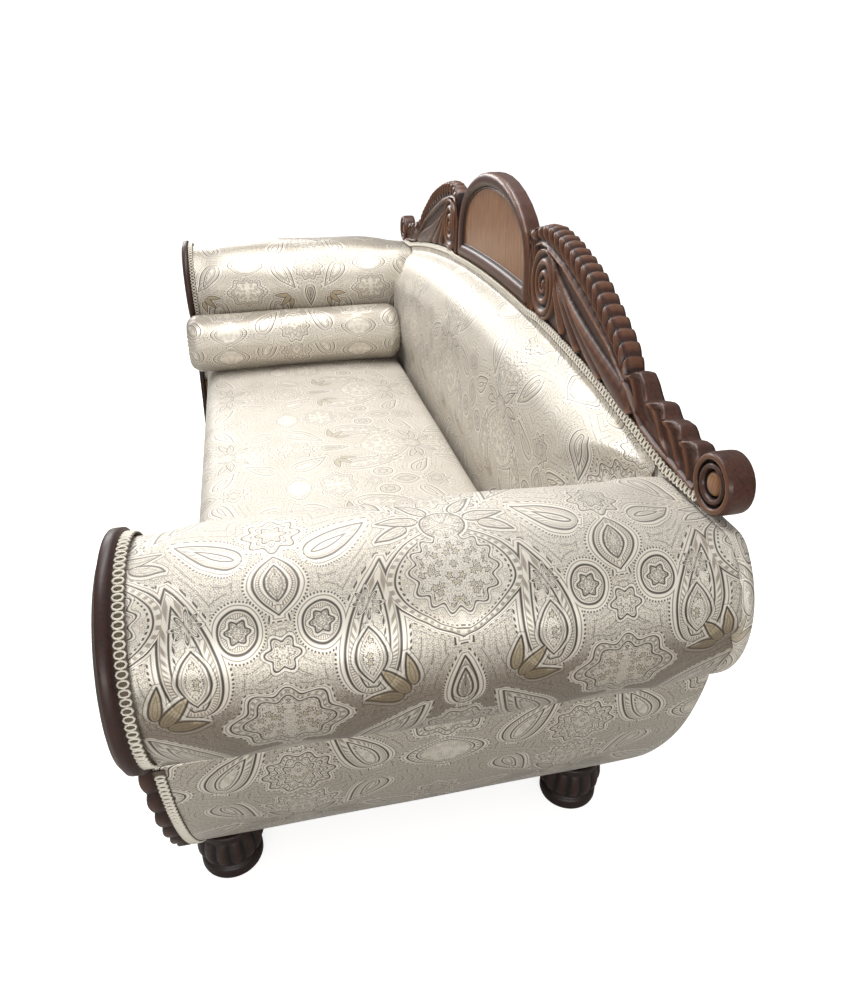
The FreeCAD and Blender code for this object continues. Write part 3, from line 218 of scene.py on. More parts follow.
def satinJacquard():
    look = satinCloth
    tint = {key: hexColour(value) for key, value in look.items() if isinstance(value, str)}
    material, tree, shader = newMaterial("satinJacquard",
                                         **{"Sheen Weight": 0.1, "Sheen Roughness": 0.4, "Metallic": 0.34,
                                            "Specular IOR Level": 0.5, "IOR": 1.5})
    clothMap = addNode(tree, "ShaderNodeUVMap", {"uv_map": "clothMap"}).outputs[0]
    parts = addNode(tree, "ShaderNodeSeparateXYZ", None, {0: clothMap})
    wobble = addNode(tree, "ShaderNodeTexNoise", {"noise_dimensions": "2D"},
                     {"Vector": clothMap, "Scale": 28.0, "Detail": 1.0}).outputs[0]
    x = formula(tree, "1000 * u", u=parts.outputs[0])
    w = formula(tree, "(1000 * v + 5 * (wobble - 0.5)) % tall", v=parts.outputs[1], wobble=wobble,
                tall=look["repeatUp"])
    columns = {"a": formula(tree, "abs(x - wide * floor(x / wide + 0.5))", x=x, wide=look["repeatAcross"])}
    columns["b"] = formula(tree, "half - a", half=look["repeatAcross"] / 2, a=columns["a"])
    reach, turn = nearestMotif(tree, largeMotifs, columns, w)[:2]
    near, spin, tone = nearestMotif(tree, smallMotifs, columns, w)
    folded = addNode(tree, "ShaderNodeCombineXYZ", None, {0: columns["a"], 1: w}).outputs[0]
    dots = addNode(tree, "ShaderNodeTexVoronoi", {"voronoi_dimensions": "2D"},
                   {"Vector": folded, "Scale": 1 / look["stippleSpacing"],
                    "Randomness": 0.9}).outputs["Distance"]
    cells = addNode(tree, "ShaderNodeTexVoronoi", {"voronoi_dimensions": "2D"},
                    {"Vector": folded, "Scale": 1 / look["flowerSpacing"], "Randomness": 0.75})
    middle = addNode(tree, "ShaderNodeSeparateXYZ", None, {0: cells.outputs["Position"]})
    petal = formula(tree, "cos(5 * bearing(w - mz, a - mx))", w=w, a=columns["a"], mx=middle.outputs[0],
                    mz=middle.outputs[1])
    flower = formula(tree, "far - 0.26 - 0.09 * petal", far=cells.outputs["Distance"], petal=petal)
    cloud = addNode(tree, "ShaderNodeTexNoise", {"noise_dimensions": "2D"},
                    {"Vector": clothMap, "Scale": 1000 / 80, "Detail": 3.0}).outputs[0]
    # per-point attribute that paints light: above zero it paints a pale sheen wash over the cloth, below zero
    # it paints shade; where it paints sheen the cloth is also rougher
    fade = addNode(tree, "ShaderNodeAttribute", {"attribute_name": "fade"}).outputs["Fac"]
    ground = formula(tree, "share((reach - 6) / 3)", reach=reach)
    heart = formula(tree, "share((-reach - 9) / 3)", reach=reach)
    detail = formula(tree, "share(-near / 1.2)", near=near)
    silver = formula(tree, "share(1.5 - abs(reach + 4.5) / 2)", reach=reach)
    field = formula(tree, "detail * share(1 - abs(tone - 3)) * share((-near - 4) / 2)",
                    detail=detail, tone=tone, near=near)
    given = dict(field=field, reach=reach, turn=turn, tone=tone, near=near, spin=spin, dots=dots,
                 flower=flower, cloud=cloud, fade=fade, ground=ground, heart=heart, detail=detail,
                 silver=silver)
    layers = [
        ("share((cloud - 0.4) * 3) * 0.7", "warmIvory"),
        ("ground * (0.35 + 0.5 * cloud)", "silver"),
        ("share((0.46 - dots) * 6) * ground * 0.58", "taupe"),
        ("ground * share(1.3 - abs(reach % 5 - 2.5) / 0.5) * 0.5", "ivory"),
        ("ground * share(1.2 - abs(reach % 10 - 5) / 0.6) * 0.6", "dark"),
        ("(0.8 * ground + 0.7 * heart) * share(1.3 - abs(flower) * 26)", "dark"),
        ("ground * share(-flower * 12) * 0.7", "ivory"),
        ("(0.7 * ground + 0.6 * heart) * share((-flower - 0.14) * 14)", "gold"),
        ("heart * share((0.36 - dots) * 6) * 0.35", "taupe"),
        ("share(1.4 - abs(reach - 2) / 1.4) * 0.7", "ivory"),
        ("silver * share(0.4 + sin(turn * 46) * 2) * 0.8", "taupe"),
        ("share(1.6 - abs(reach) / 0.95)", "dark"),
        ("share(1.6 - abs(reach + 2.4) / 0.4) * 0.7", "taupe"),
        ("share(1.6 - abs(reach + 8.6) / 0.75)", "dark"),
        ("share(1.6 - abs(reach - 4.2) / 0.45) * 0.9", "taupe"),
        ("share(1.7 - abs(reach + 12) / 0.7) * over(sin(turn * 60), 0)", "dark"),
        ("share(1.7 - abs(reach - 7.2) / 0.7) * over(sin(turn * 52), 0)", "dark"),
        ("share(1.5 - abs(near - 2) / 1.3) * 0.7", "ivory"),
        ("share(1.5 - abs(near - 3.8) / 0.45) * 0.7", "dark"),
        ("detail * 0.4", "ivory"),
        ("detail * share((0.40 - dots) * 6) * share(1 - abs(tone - 1)) * 0.8", "taupe"),
        ("detail * share(1 - abs(tone - 2)) * 0.62", "olive"),
        ("field * share((0.42 - dots) * 6) * 0.55", "taupe"),
        ("field * share(1.5 - abs(flower) * 22)", "dark"),
        ("field * share((-flower - 0.1) * 14) * 0.8", "gold"),
        ("share(1.4 - abs(near + 3) / 0.45) * 0.8", "taupe"),
        ("share(1.5 - abs(near + 5.6) / 0.65) * over(sin(spin * 30), 0) * 0.8", "dark"),
        ("detail * share(1.1 - abs(sin(spin * 4)) * 3) * share((near + 16) / 6) * share(2 - tone) * 0.5",
         "dark"),
        ("share(1.6 - abs(near) / 0.8)", "dark"),
        # painted shade: dark taupe laid over the cloth where the attribute is below zero
        ("share(-fade) * (0.38 + 0.42 * ground)", "paintedShadeTaupe"),
        # painted sheen: the cloth washed pale where the attribute is above zero
        ("share(fade * (0.95 - 0.3 * cloud))", "paintedHighlight"),
    ]
    colour = paint(tree, tint, "ivory", layers, **given)
    ribs = formula(tree, "sin((u + 0.6 * v) * 6283 / spacing)", u=parts.outputs[0], v=parts.outputs[1],
                   spacing=look["ribSpacing"])
    relief = formula(tree, "0.25 * ribs + share(-reach * 0.2) - 1.2 * share(1.5 - abs(reach) / 1.2)"
                     " - share(1.5 - abs(near))",
                     ribs=ribs, reach=reach, near=near)
    roughness = formula(tree, "0.33 + 0.08 * ground - 0.04 * ribs + 0.8 * share(fade)",
                        ground=ground, ribs=ribs, fade=fade)
    linkLook(tree, shader, colour, roughness, relief, 0.3, 0.0006)
    return material


# mahogany: dense red-brown wood, French polished; painted shade darkens the cuts and a painted highlight in
# lighter orange lies on the high edges
mahoganyLooks = {
    "polishedMahogany": {"deep": "#170b07", "body": "#3d2016", "light": "#573220", "paintedHighlight": "#83583c",
                         "grain": (26.0, 330.0, 330.0), "shine": 0.32},
    # the feet and facings take darker copies of this mahogany: painted shade
    "shadedFeetMahogany": {"deep": "#080504", "body": "#1c0f0b", "light": "#2c1813", "paintedHighlight": "#4a2c20",
                     "grain": (330.0, 330.0, 26.0), "shine": 0.42},
    "shadedFacingMahogany": {"deep": "#0c0604", "body": "#2a140d", "light": "#3d1f14", "paintedHighlight": "#63402c",
                       "grain": (330.0, 330.0, 26.0), "shine": 0.42},
    "veneerMahogany": {"deep": "#5b3a24", "body": "#7a4f36", "light": "#b08657", "paintedHighlight": "#a9825c",
                       "grain": (240.0, 240.0, 18.0), "shine": 0.3},
}


def mahogany(name):
    look = mahoganyLooks[name]
    tint = {key: hexColour(look[key]) for key in ("deep", "body", "light", "paintedHighlight")}
    material, tree, shader = newMaterial(name, **{"IOR": 1.5, "Coat Weight": 0.1, "Coat Roughness": 0.25,
                                                  "Specular IOR Level": 0.4})
    place = addNode(tree, "ShaderNodeTexCoord").outputs["Object"]
    along = addNode(tree, "ShaderNodeMapping", None, {"Vector": place, "Scale": look["grain"]}).outputs[0]
    grain = addNode(tree, "ShaderNodeTexNoise", None,
                    {"Vector": along, "Scale": 1.0, "Detail": 5.0, "Distortion": 0.5}).outputs[0]
    cloud = addNode(tree, "ShaderNodeTexNoise", None,
                    {"Vector": place, "Scale": 14.0, "Detail": 2.0}).outputs[0]
    height = addNode(tree, "ShaderNodeAttribute", {"attribute_name": "carving"}).outputs["Fac"]
    layers = [
        ("share((grain - 0.38) * 2.6) * (0.5 + 0.6 * cloud)", "light"),
        ("share((0.4 - grain) * 5) * 0.7", "deep"),
        # painted highlight in lighter orange on the high carved edges, and painted shade in the cuts, both
        # from the carving attribute
        ("share(height * (0.55 + 0.5 * cloud))", "paintedHighlight"),
        ("share(-height * 1.15)", "deep"),
    ]
    colour = paint(tree, tint, "body", layers, grain=grain, cloud=cloud, height=height)
    roughness = formula(tree, "shine + 0.14 * grain + 0.2 * share(-height)",
                        shine=look["shine"], grain=grain, height=height)
    linkLook(tree, shader, colour, roughness, grain, 0.12, 0.0006)
    return material


# plain finishes: two colours, a woven or grained height, roughness
plainLooks = {
    "sawnBeech": {"pale": "#c9a67b", "deep": "#a37c50", "scale": (30.0, 260.0, 260.0), "rough": 0.6},
    "cottonGimp": {"pale": "#f3eee3", "deep": "#d6ccb9", "scale": (900.0, 900.0, 900.0), "rough": 0.75},
    # dark sheet under the gimp: painted shade for the holes between its loops
    "gimpTape": {"pale": "#6f6454", "deep": "#463d31", "scale": (900.0, 900.0, 900.0), "rough": 0.85},
    "juteWebbing": {"pale": "#b89a6c", "deep": "#7f6440", "scale": (300.0, 300.0, 300.0), "rough": 0.9},
    "juteHessian": {"pale": "#b39a72", "deep": "#8a7048", "scale": (420.0, 420.0, 420.0), "rough": 0.92},
    "blackCambric": {"pale": "#2a2928", "deep": "#161515", "scale": (500.0, 500.0, 500.0), "rough": 0.9},
    "springSteel": {"pale": "#8d8a86", "deep": "#5c5046", "scale": (90.0, 90.0, 90.0), "rough": 0.42,
                    "metal": 1.0},
}


def plainFinish(name):
    look = plainLooks[name]
    material, tree, shader = newMaterial(name, **{"Metallic": look.get("metal", 0.0)})
    place = addNode(tree, "ShaderNodeTexCoord").outputs["Object"]
    along = addNode(tree, "ShaderNodeMapping", None, {"Vector": place, "Scale": look["scale"]}).outputs[0]
    grain = addNode(tree, "ShaderNodeTexNoise", None,
                    {"Vector": along, "Scale": 1.0, "Detail": 3.0}).outputs[0]
    tint = {key: hexColour(look[key]) for key in ("pale", "deep")}
    colour = paint(tree, tint, "deep", [("share((grain - 0.3) * 2.5)", "pale")], grain=grain)
    roughness = formula(tree, "rough + 0.12 * (grain - 0.5)", rough=look["rough"], grain=grain)
    linkLook(tree, shader, colour, roughness, grain, 0.3, 0.0008)
    return material


finishes = {name: mahogany(name) for name in mahoganyLooks}
finishes.update({name: plainFinish(name) for name in plainLooks})
finishes["satinJacquard"] = satinJacquard()
print("finishes made")


def smoothStep(value):
    value = np.clip(value, 0, 1)
    return value * value * (3 - 2 * value)


# a mesh becomes a piece, its faces turned outward
def meshPiece(name, mesh, merge=None):
    work = bmesh.new()
    work.from_mesh(mesh)
    if merge:
        bmesh.ops.remove_doubles(work, verts=work.verts, dist=merge)
    bmesh.ops.recalc_face_normals(work, faces=work.faces)
    work.to_mesh(mesh)
    work.free()
    mesh.shade_smooth()
    piece = bpy.data.objects.new(name, mesh)
    scene.collection.objects.link(piece)
    return piece


def joinTo(piece, other):
    bpy.ops.object.select_all(action="DESELECT")
    other.select_set(True)
    piece.select_set(True)
    bpy.context.view_layer.objects.active = piece
    bpy.ops.object.join()
    piece.select_set(False)


# rows of points become a mesh; columns close into a loop, ends close on a pole; a value may be one number
def latticePiece(name, points, clothMap=None, closed=True, capped=True, **values):
    rows, columns = points.shape[:2]
    values = {key: np.broadcast_to(table, (rows, columns)) for key, table in values.items()}
    if capped:
        ends = []
        for row in (points[0], points[-1]):
            middle = row.mean(axis=0)
            ends.append([row + (middle - row) * share for share in (0.5, 1.0)])
        points = np.concatenate([[ends[0][1], ends[0][0]], points, ends[1]])
        rows += 4
        grow = lambda table: np.concatenate([table[:1], table[:1], table, table[-1:], table[-1:]])
        clothMap = None if clothMap is None else grow(clothMap)
        values = {key: grow(table) for key, table in values.items()}
    wrap = columns if closed else columns - 1
    index = np.arange(rows * columns).reshape(rows, columns)
    right = np.roll(index, -1, axis=1)
    faces = np.stack([index[:-1, :wrap], right[:-1, :wrap], right[1:, :wrap], index[1:, :wrap]], axis=-1)
    mesh = bpy.data.meshes.new(name)
    mesh.from_pydata(points.reshape(-1, 3).tolist(), [], faces.reshape(-1, 4).tolist())
    if clothMap is not None:
        corners = np.stack([clothMap[:-1, :wrap], clothMap[:-1, 1:wrap + 1], clothMap[1:, 1:wrap + 1],
                            clothMap[1:, :wrap]], axis=2)
        mesh.uv_layers.new(name="clothMap").data.foreach_set("uv", corners.reshape(-1))
    for key, table in values.items():
        mesh.attributes.new(key, "FLOAT", "POINT").data.foreach_set("value",
                                                                    np.ascontiguousarray(table).reshape(-1))
    return meshPiece(name, mesh, merge=1e-6)


def finishPiece(piece, finish, nodes, body="sofa"):
    piece.data.materials.clear()
    piece.data.materials.append(finishes[finish])
    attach(piece, body)
    if nodes:
        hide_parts(*nodes)
    return piece


def applyModifiers(piece):
    bpy.ops.object.select_all(action="DESELECT")
    piece.select_set(True)
    bpy.context.view_layer.objects.active = piece
    for modifier in list(piece.modifiers):
        bpy.ops.object.modifier_apply(modifier=modifier.name)
    piece.select_set(False)


# stuffing pushes the cover out: Cloth with pressure, each point's movement limited, then one subdivision
def swell(piece, pressure, limit):
    base = np.array([vertex.co[:] for vertex in piece.data.vertices])
    cloth = piece.modifiers.new("swell", "CLOTH")
    cloth.settings.use_pressure = True
    cloth.settings.uniform_pressure_force = pressure
    cloth.settings.quality = 4
    cloth.settings.effector_weights.gravity = 0
    cloth.collision_settings.use_collision = False
    cloth.point_cache.frame_start = 1
    cloth.point_cache.frame_end = 20
    for step in range(1, 21):
        scene.frame_set(step)
    shaped = piece.evaluated_get(bpy.context.evaluated_depsgraph_get())
    moved = np.array([vertex.co[:] for vertex in shaped.data.vertices]) - base
    piece.modifiers.remove(cloth)
    far = np.linalg.norm(moved, axis=1, keepdims=True)
    allowed = limit(base).reshape(-1, 1)
    moved *= np.minimum(1, allowed / np.maximum(far, 1e-9))
    piece.data.vertices.foreach_set("co", (base + moved).reshape(-1))
    piece.data.update()
    scene.frame_set(1)
    smooth = piece.modifiers.new("smooth", "SUBSURF")
    smooth.levels = smooth.render_levels = 1
    smooth.uv_smooth = "NONE"
    applyModifiers(piece)
    work = bmesh.new()
    work.from_mesh(piece.data)
    bmesh.ops.holes_fill(work, edges=work.edges, sides=0)
    bmesh.ops.recalc_face_normals(work, faces=work.faces)
    work.to_mesh(piece.data)
    work.free()
    piece.data.shade_smooth()


def bothSides(points):
    return {"right": points, "left": points * np.array([-1, 1, 1])}


def lengths(line):
    steps = np.linalg.norm(np.diff(line, axis=0), axis=1)
    return np.concatenate([[0], np.cumsum(steps)])


# cloth laid flat, metres along the rows and round the columns
def flatCloth(along, around):
    return np.stack(np.meshgrid(along, around, indexing="ij"), axis=2)


def unit(rows):
    return rows / np.linalg.norm(rows, axis=1, keepdims=True)


def resample(line, spacing, count=None):
    line = np.asarray(line, float)
    run = lengths(line)
    count = count or max(2, int(round(run[-1] / spacing)) + 1)
    even = np.linspace(0, run[-1], count)
    return np.stack([np.interp(even, run, line[:, k]) for k in range(line.shape[1])], axis=1)


# lines shared by several pieces, metres
crestBase = {"height": 0.787, "radius": 4.2527}
armRoll = {"x": 0.908, "z": 0.584, "radius": 0.142, "crease": -61, "inner": 219, "front": -0.358,
           "back": 0.3417}
armSide = {"foot": (0.793, 0.100), "top": (0.9768, 0.4598), "radius": 0.627}


def crestLine(x):
    return crestBase["height"] - crestBase["radius"] + np.sqrt(crestBase["radius"] ** 2 - np.asarray(x) ** 2)


def sidePoint(z, outward=0.0):
    foot, top = np.array(armSide["foot"]), np.array(armSide["top"])
    chord = np.linalg.norm(top - foot)
    normal = np.array([top[1] - foot[1], foot[0] - top[0]]) / chord
    centre = (foot + top) / 2 - normal * math.sqrt(armSide["radius"] ** 2 - chord ** 2 / 4)
    radius = armSide["radius"] + outward
    return centre[0] + np.sqrt(radius ** 2 - (np.asarray(z) - centre[1]) ** 2)


# seat: sprung and stuffed, crowned in the middle, with a firm rolled front edge
# the last value paints a pale sheen over the whole seat cover
seatPad = {"half": 0.781, "front": -0.350, "back": 0.270, "top": 0.384, "bottom": 0.303, "lip": 0.194,
           "edge": 0.36, "crown": 0.007, "pressure": 4.0, "limit": 0.006, "fade": 0.36}


def buildSeat():
    s = seatPad
    profile = [(s["front"] + 0.018, s["lip"]), (s["front"] + 0.003, s["lip"]), (s["front"], 0.21),
               (s["front"], 0.33), (s["front"] + 0.003, 0.352), (s["front"] + 0.011, 0.370),
               (s["front"] + 0.026, 0.381), (s["front"] + 0.05, s["top"]), (s["back"] - 0.03, s["top"]),
               (s["back"] - 0.012, s["top"] - 0.003), (s["back"] - 0.002, s["top"] - 0.014),
               (s["back"], 0.345), (s["back"], s["bottom"])]
    cover = resample(profile, 0.009)
    under = resample([profile[-1], (s["front"] + 0.03, s["bottom"]), profile[0]], 0.03)[1:-1]
    loop = np.concatenate([cover, under])
    run = lengths(np.concatenate([loop, loop[:1]]))
    stations = np.linspace(-s["half"], s["half"], 132)
    points = np.zeros((len(stations), len(loop), 3))
    for row, x in enumerate(stations):
        crown = s["crown"] * (1 - abs(x / s["half"]) ** 3)
        depth = np.clip((loop[:, 0] - s["front"]) / (s["back"] - s["front"]), 0, 1)
        lift = crown * np.sin(np.pi * depth) ** 0.6 * (loop[:, 1] > s["edge"])
        dimple = 0.0016 * np.sin(9 * x + 4 * depth) * np.sin(7 * depth + 5 * x) * (loop[:, 1] > s["edge"])
        points[row] = np.stack([np.full(len(loop), x), loop[:, 0], loop[:, 1] + lift + dimple], axis=1)
    clothMap = flatCloth(stations, run + 0.09)
    piece = latticePiece("seatCover", points, clothMap, capped=False, fade=s["fade"])
    swell(piece, s["pressure"], lambda base: s["limit"] * smoothStep((s["half"] - abs(base[:, 0])) / 0.05))
    finishPiece(piece, "satinJacquard", ["seat_pad"])


# inside back: one wide stuffed panel under the crest, cut round the rolls
# the last value paints a faint pale sheen over the whole back cover
backPad = {"front": 0.274, "back": 0.338, "bottom": 0.304, "crown": 0.014, "topRoll": 0.055, "half": 0.810,
           "tacked": 0.337, "pressure": 4.0, "limit": 0.007, "fade": 0.12}


def backHalfWidth(z):
    rise = np.clip(np.abs(z - armRoll["z"]) / (armRoll["radius"] + 0.003), 0, 1)
    roll = armRoll["x"] - (armRoll["radius"] + 0.003) * np.sqrt(1 - rise ** 2)
    inner = np.where(z < 0.50, 0.783, backPad["half"])
    return np.minimum(inner, np.minimum(roll, backPad["half"]))


# swelling stops at the seat, under the crest and at the rolls
def backLimit(base):
    x, z = base[:, 0], base[:, 2]
    far = backPad["limit"] * smoothStep((z - 0.39) / 0.06)
    return far * smoothStep((crestLine(x) - z) / 0.05) * smoothStep((0.80 - abs(x)) / 0.04)


def buildBack():
    b = backPad
    across = np.sin(np.linspace(-1, 1, 121) * math.pi / 2 * 0.92) / math.sin(math.pi / 2 * 0.92)
    upShare = 1 - (1 - np.linspace(0, 1, 60)) ** 1.35
    top = crestLine(across * b["half"]) - 0.003
    front = np.zeros((len(across), len(upShare), 3))
    for row, share in enumerate(across):
        z = b["bottom"] + (top[row] - b["bottom"]) * upShare
        x = share * backHalfWidth(z)
        over = smoothStep((z - 0.385) / 0.12) * smoothStep((top[row] - 0.02 - z) / 0.11)
        belly = b["crown"] * (1 - abs(share) ** 3) * over
        ripple = 0.0018 * np.sin(16 * z + 5 * x) * np.sin(11 * x) * over
        fall = np.clip((top[row] - z - 0.0185) / b["topRoll"], 0, 1)
        lip = (b["tacked"] - b["front"]) * (1 - np.sqrt(np.clip(1 - (1 - fall) ** 2, 0, 1)))
        thin = 0.0595 * smoothStep((abs(x) - 0.64) / 0.165) * smoothStep((z - 0.60) / 0.08)
        face = np.minimum(b["front"] - belly - ripple + np.maximum(lip, thin), b["tacked"])
        front[row] = np.stack([x, face, z], axis=1)
    rear = front[:, ::-6].copy()
    rear[:, :, 1] = b["back"]
    points = np.concatenate([front, rear], axis=1)
    run = lengths(front[60])
    clothMap = np.zeros((len(across), points.shape[1] + 1, 2))
    clothMap[:, :len(upShare), 0] = front[:, :, 0]
    clothMap[:, :len(upShare), 1] = run[None, :]
    clothMap[:, len(upShare):, 0] = across[:, None] * b["half"]
    piece = latticePiece("backCover", points, clothMap, capped=False, fade=b["fade"])
    swell(piece, b["pressure"], backLimit)
    finishPiece(piece, "satinJacquard", ["back_pad"])


# arm: cover pulled over the scroll roll and down the inside, tucked at the crease and gathered at the back
armCover = {"coreRadius": 0.110, "insideX": 0.787, "bottom": 0.312, "frontDroop": 0.010, "backDroop": 0.028,
            "stations": 64, "pressure": 4.0, "limit": 0.005, "gathers": 26, "gatherDepth": 0.0022,
            "stitch": (0.345, -0.05), "folds": (-0.55, -0.1, 0.3, 0.8, 1.5)}


def rollPoints(radius, angles):
    return np.stack([armRoll["x"] + radius * np.cos(angles), armRoll["z"] + radius * np.sin(angles)], axis=1)


# the roll's radius: softened at the front rim, its top pressed flat under the crest at the back
def armRadius(y, angles):
    a = armCover
    front = a["frontDroop"] * (1 - smoothStep((y - armRoll["front"]) / 0.10))
    front = front * smoothStep((angles + 1.05) / 0.5)
    back = smoothStep((y - 0.14) / 0.19)
    ceiling = (armRoll["radius"] - a["backDroop"] * back) / np.maximum(np.sin(angles), 0.2)
    full = np.full(len(angles), armRoll["radius"])
    blend = np.clip(0.5 + (ceiling - full) / 0.03, 0, 1)
    pressed = ceiling + (full - ceiling) * blend - 0.015 * blend * (1 - blend)
    return np.minimum(pressed, full) - front - 0.001 * smoothStep((y - 0.315) / 0.027) ** 2


def armRow(y):
    a = armCover
    angles = np.radians(np.linspace(armRoll["crease"], armRoll["inner"], 84))
    radius = armRadius(y, angles) - 0.003
    gather = a["gatherDepth"] * smoothStep((y - 0.29) / 0.06)
    sag = 0.0022 * np.sin(5.2 * y / 0.36 + 2.1 * angles) * np.sin(1.7 * angles + 9 * y)
    sag = sag * smoothStep((y + 0.36) / 0.06)
    tuck = 0.004 * np.exp(-((angles - 0.15 - 1.6 * (y + 0.358)) / 0.05) ** 2)
    tuck = tuck * smoothStep((-0.255 - y) / 0.05)
    star = np.zeros(len(angles))  # folds drawn to one stitch at the back end
    along, aroundRoll = a["stitch"][0] - y, (angles - a["stitch"][1]) * armRoll["radius"]
    for slope in a["folds"]:
        fold = 0.0048 * np.exp(-((aroundRoll - slope * along) / (0.0035 + 0.05 * along)) ** 2)
        star += fold * smoothStep((0.10 - along) / 0.09)
    pleats = np.abs(np.sin(a["gathers"] / 2 * angles + 0.9 * np.sin(3 * angles)))
    reach = radius + sag - tuck - star - gather * pleats
    roll = rollPoints(reach, angles)
    inside = resample([roll[-1], (a["insideX"] + 0.001, 0.470), (a["insideX"], 0.44),
                       (a["insideX"], a["bottom"])], 0, 22)[1:]
    hidden = np.radians(np.linspace(armRoll["inner"], armRoll["crease"], 22))
    core = min(a["coreRadius"], float(radius.min()) - 0.012)
    back = rollPoints(core, hidden)
    inner = resample([(a["insideX"] + 0.03, a["bottom"]), (a["insideX"] + 0.03, 0.46), back[0]], 0, 7)[:-1]
    return np.concatenate([roll, inside, inner, back])


# swelling stops at the front rim, the back end and the tuck
def armLimit(base):
    far = armCover["limit"] * smoothStep((base[:, 1] - armRoll["front"] - 0.012) / 0.05)
    return far * smoothStep((0.30 - base[:, 1]) / 0.06) * smoothStep((base[:, 2] - 0.462) / 0.03)


def buildArms():
    a = armCover
    y = np.linspace(armRoll["front"], armRoll["back"], a["stations"])
    section = np.array([armRow(place) for place in y])
    run = lengths(section[len(y) // 2])
    points = np.stack([section[:, :, 0], np.repeat(y[:, None], section.shape[1], axis=1), section[:, :, 1]],
                      axis=2)
    clothMap = flatCloth(y, np.append(run, run[-1]))
    angle = np.degrees(np.arctan2(section[:, :, 1] - armRoll["z"], section[:, :, 0] - armRoll["x"]))
    angle = np.where(angle < -75, angle + 360, angle)
    # painted sheen and shade round the rolls: the near roll dark taupe low down and washed pale towards the
    # top, the far roll darkened low down and over its top
    rollSheenAndShade = {"right": -0.95 + 1.0 * smoothStep((angle + 6) / 28) + 0.24 * smoothStep((angle - 40) / 40),
                "left": -0.5 + 0.56 * smoothStep((angle + 6) / 28) - 0.12 * smoothStep((angle - 185) / 20)
                - 0.62 * smoothStep((angle - 50) / 20) * smoothStep((132 - angle) / 24)}
    for side, placed in bothSides(points).items():
        piece = latticePiece(side + "ArmCover", placed, clothMap, capped=False, fade=rollSheenAndShade[side])
        swell(piece, a["pressure"], armLimit)
        finishPiece(piece, "satinJacquard", [side + "_arm_pad"])


# outside arm: cover stretched over a thin pad between the rail and the crease
# the last value, below zero, paints shade over the outside arm
outsideArm = {"front": -0.358, "back": 0.372, "low": 0.1005, "high": 0.4572, "thick": 0.0095, "edge": 0.0102,
              "swell": 0.003, "fade": -0.4}


def buildOutsideArms():
    o = outsideArm
    z = np.linspace(o["low"], o["high"], 40)
    y = np.linspace(o["front"], o["back"], 70)
    share = (z - o["low"]) / (o["high"] - o["low"])
    points = []
    for place in y:
        along = (place - o["front"]) / (o["back"] - o["front"])
        puff = o["swell"] * np.sin(np.pi * share) ** 0.5 * math.sin(math.pi * along) ** 0.4 - 0.0012
        puff = puff + 0.0008 * np.sin(22 * place + 9 * share) * np.sin(math.pi * share)
        outer = np.stack([sidePoint(z, 0) + puff, np.full(len(z), place), z], axis=1)
        inner = np.stack([sidePoint(z[::-4], -o["thick"]), np.full(len(z[::-4]), place), z[::-4]], axis=1)
        points.append(np.concatenate([outer, inner]))
    points = np.array(points)
    run = lengths(points[0][:, [0, 2]])
    clothMap = flatCloth(y + 0.19, np.append(run, run[-1]) + 0.16)
    for side, placed in bothSides(points).items():
        piece = latticePiece(side + "OutsideArmCover", placed, clothMap, capped=False, fade=o["fade"])
        swell(piece, 1.0, lambda base: np.full(len(base), 0.0005))
        finishPiece(piece, "satinJacquard", [side + "_outside_arm"])


# arm's back end: cover gathered over a thin pad, flat on top under the crest's end
# the last value paints a pale sheen over the arm end cover
armEnd = {"front": 0.3405, "back": 0.371, "inner": 0.778, "shelf": 0.6962, "low": 0.101, "fade": 0.2}


def buildArmEnds():
    e = armEnd
    lift = math.degrees(math.asin((e["shelf"] - armRoll["z"]) / (armRoll["radius"] - 0.0055)))
    angles = np.radians(np.linspace(armRoll["crease"], lift, 60))
    radius = armRadius(armRoll["back"], angles) - 0.004
    roll = rollPoints(radius, angles)
    roll[:, 1] = np.minimum(roll[:, 1], e["shelf"])
    z = np.linspace(e["low"], 0.455, 30)
    side = np.stack([sidePoint(z, -outsideArm["edge"]), z], axis=1)
    border = np.concatenate([[(e["inner"], e["low"])], side, roll, [(e["inner"], e["shelf"])]])
    border = resample(np.concatenate([border, border[:1]]), 0.008)[:-1]
    middle = np.array([0.89, 0.52])
    rows = []
    for share, depth in ((0.0, 0), (0.25, 0.002), (0.5, 0.003), (0.75, 0.002), (0.93, -0.002), (1.0, -0.010)):
        ring = middle + (border - middle) * share
        fold = 0.0016 * np.sin(np.arange(len(border)) * 2.1) * share * (share < 0.95)
        rows.append(np.stack([ring[:, 0], e["back"] - 0.003 + depth + fold, ring[:, 1]], axis=1))
    for share in (1.0, 0.5, 0.0):
        ring = middle + (border - middle) * share
        rows.append(np.stack([ring[:, 0], np.full(len(border), e["front"]), ring[:, 1]], axis=1))
    points = np.array(rows)
    clothMap = np.zeros(points.shape[:2] + (2,))
    # the cloth runs on round the rim
    grow = np.array([0, 0.25, 0.5, 0.75, 0.93, 1.0, 1.25, 1.3, 1.35])[:, None]
    clothMap[:, :, 0] = middle[0] + (border[:, 0] - middle[0])[None, :] * grow
    clothMap[:, :, 1] = middle[1] + (border[:, 1] - middle[1])[None, :] * grow
    clothMap = np.concatenate([clothMap, clothMap[:, :1]], axis=1)
    for side, placed in bothSides(points).items():
        piece = latticePiece(side + "ArmEndCover", placed, clothMap, capped=False, fade=e["fade"])
        finishPiece(piece, "satinJacquard", [side + "_arm_end_cover"])


# outside back: cover stretched flat over the frame, tacked round its edge
# the last value paints a faint pale sheen over the outside back
outsideBack = {"front": 0.3725, "back": 0.3795, "low": 0.101, "step": 0.4572, "inner": 0.776, "dish": 0.002,
               "fade": 0.1}


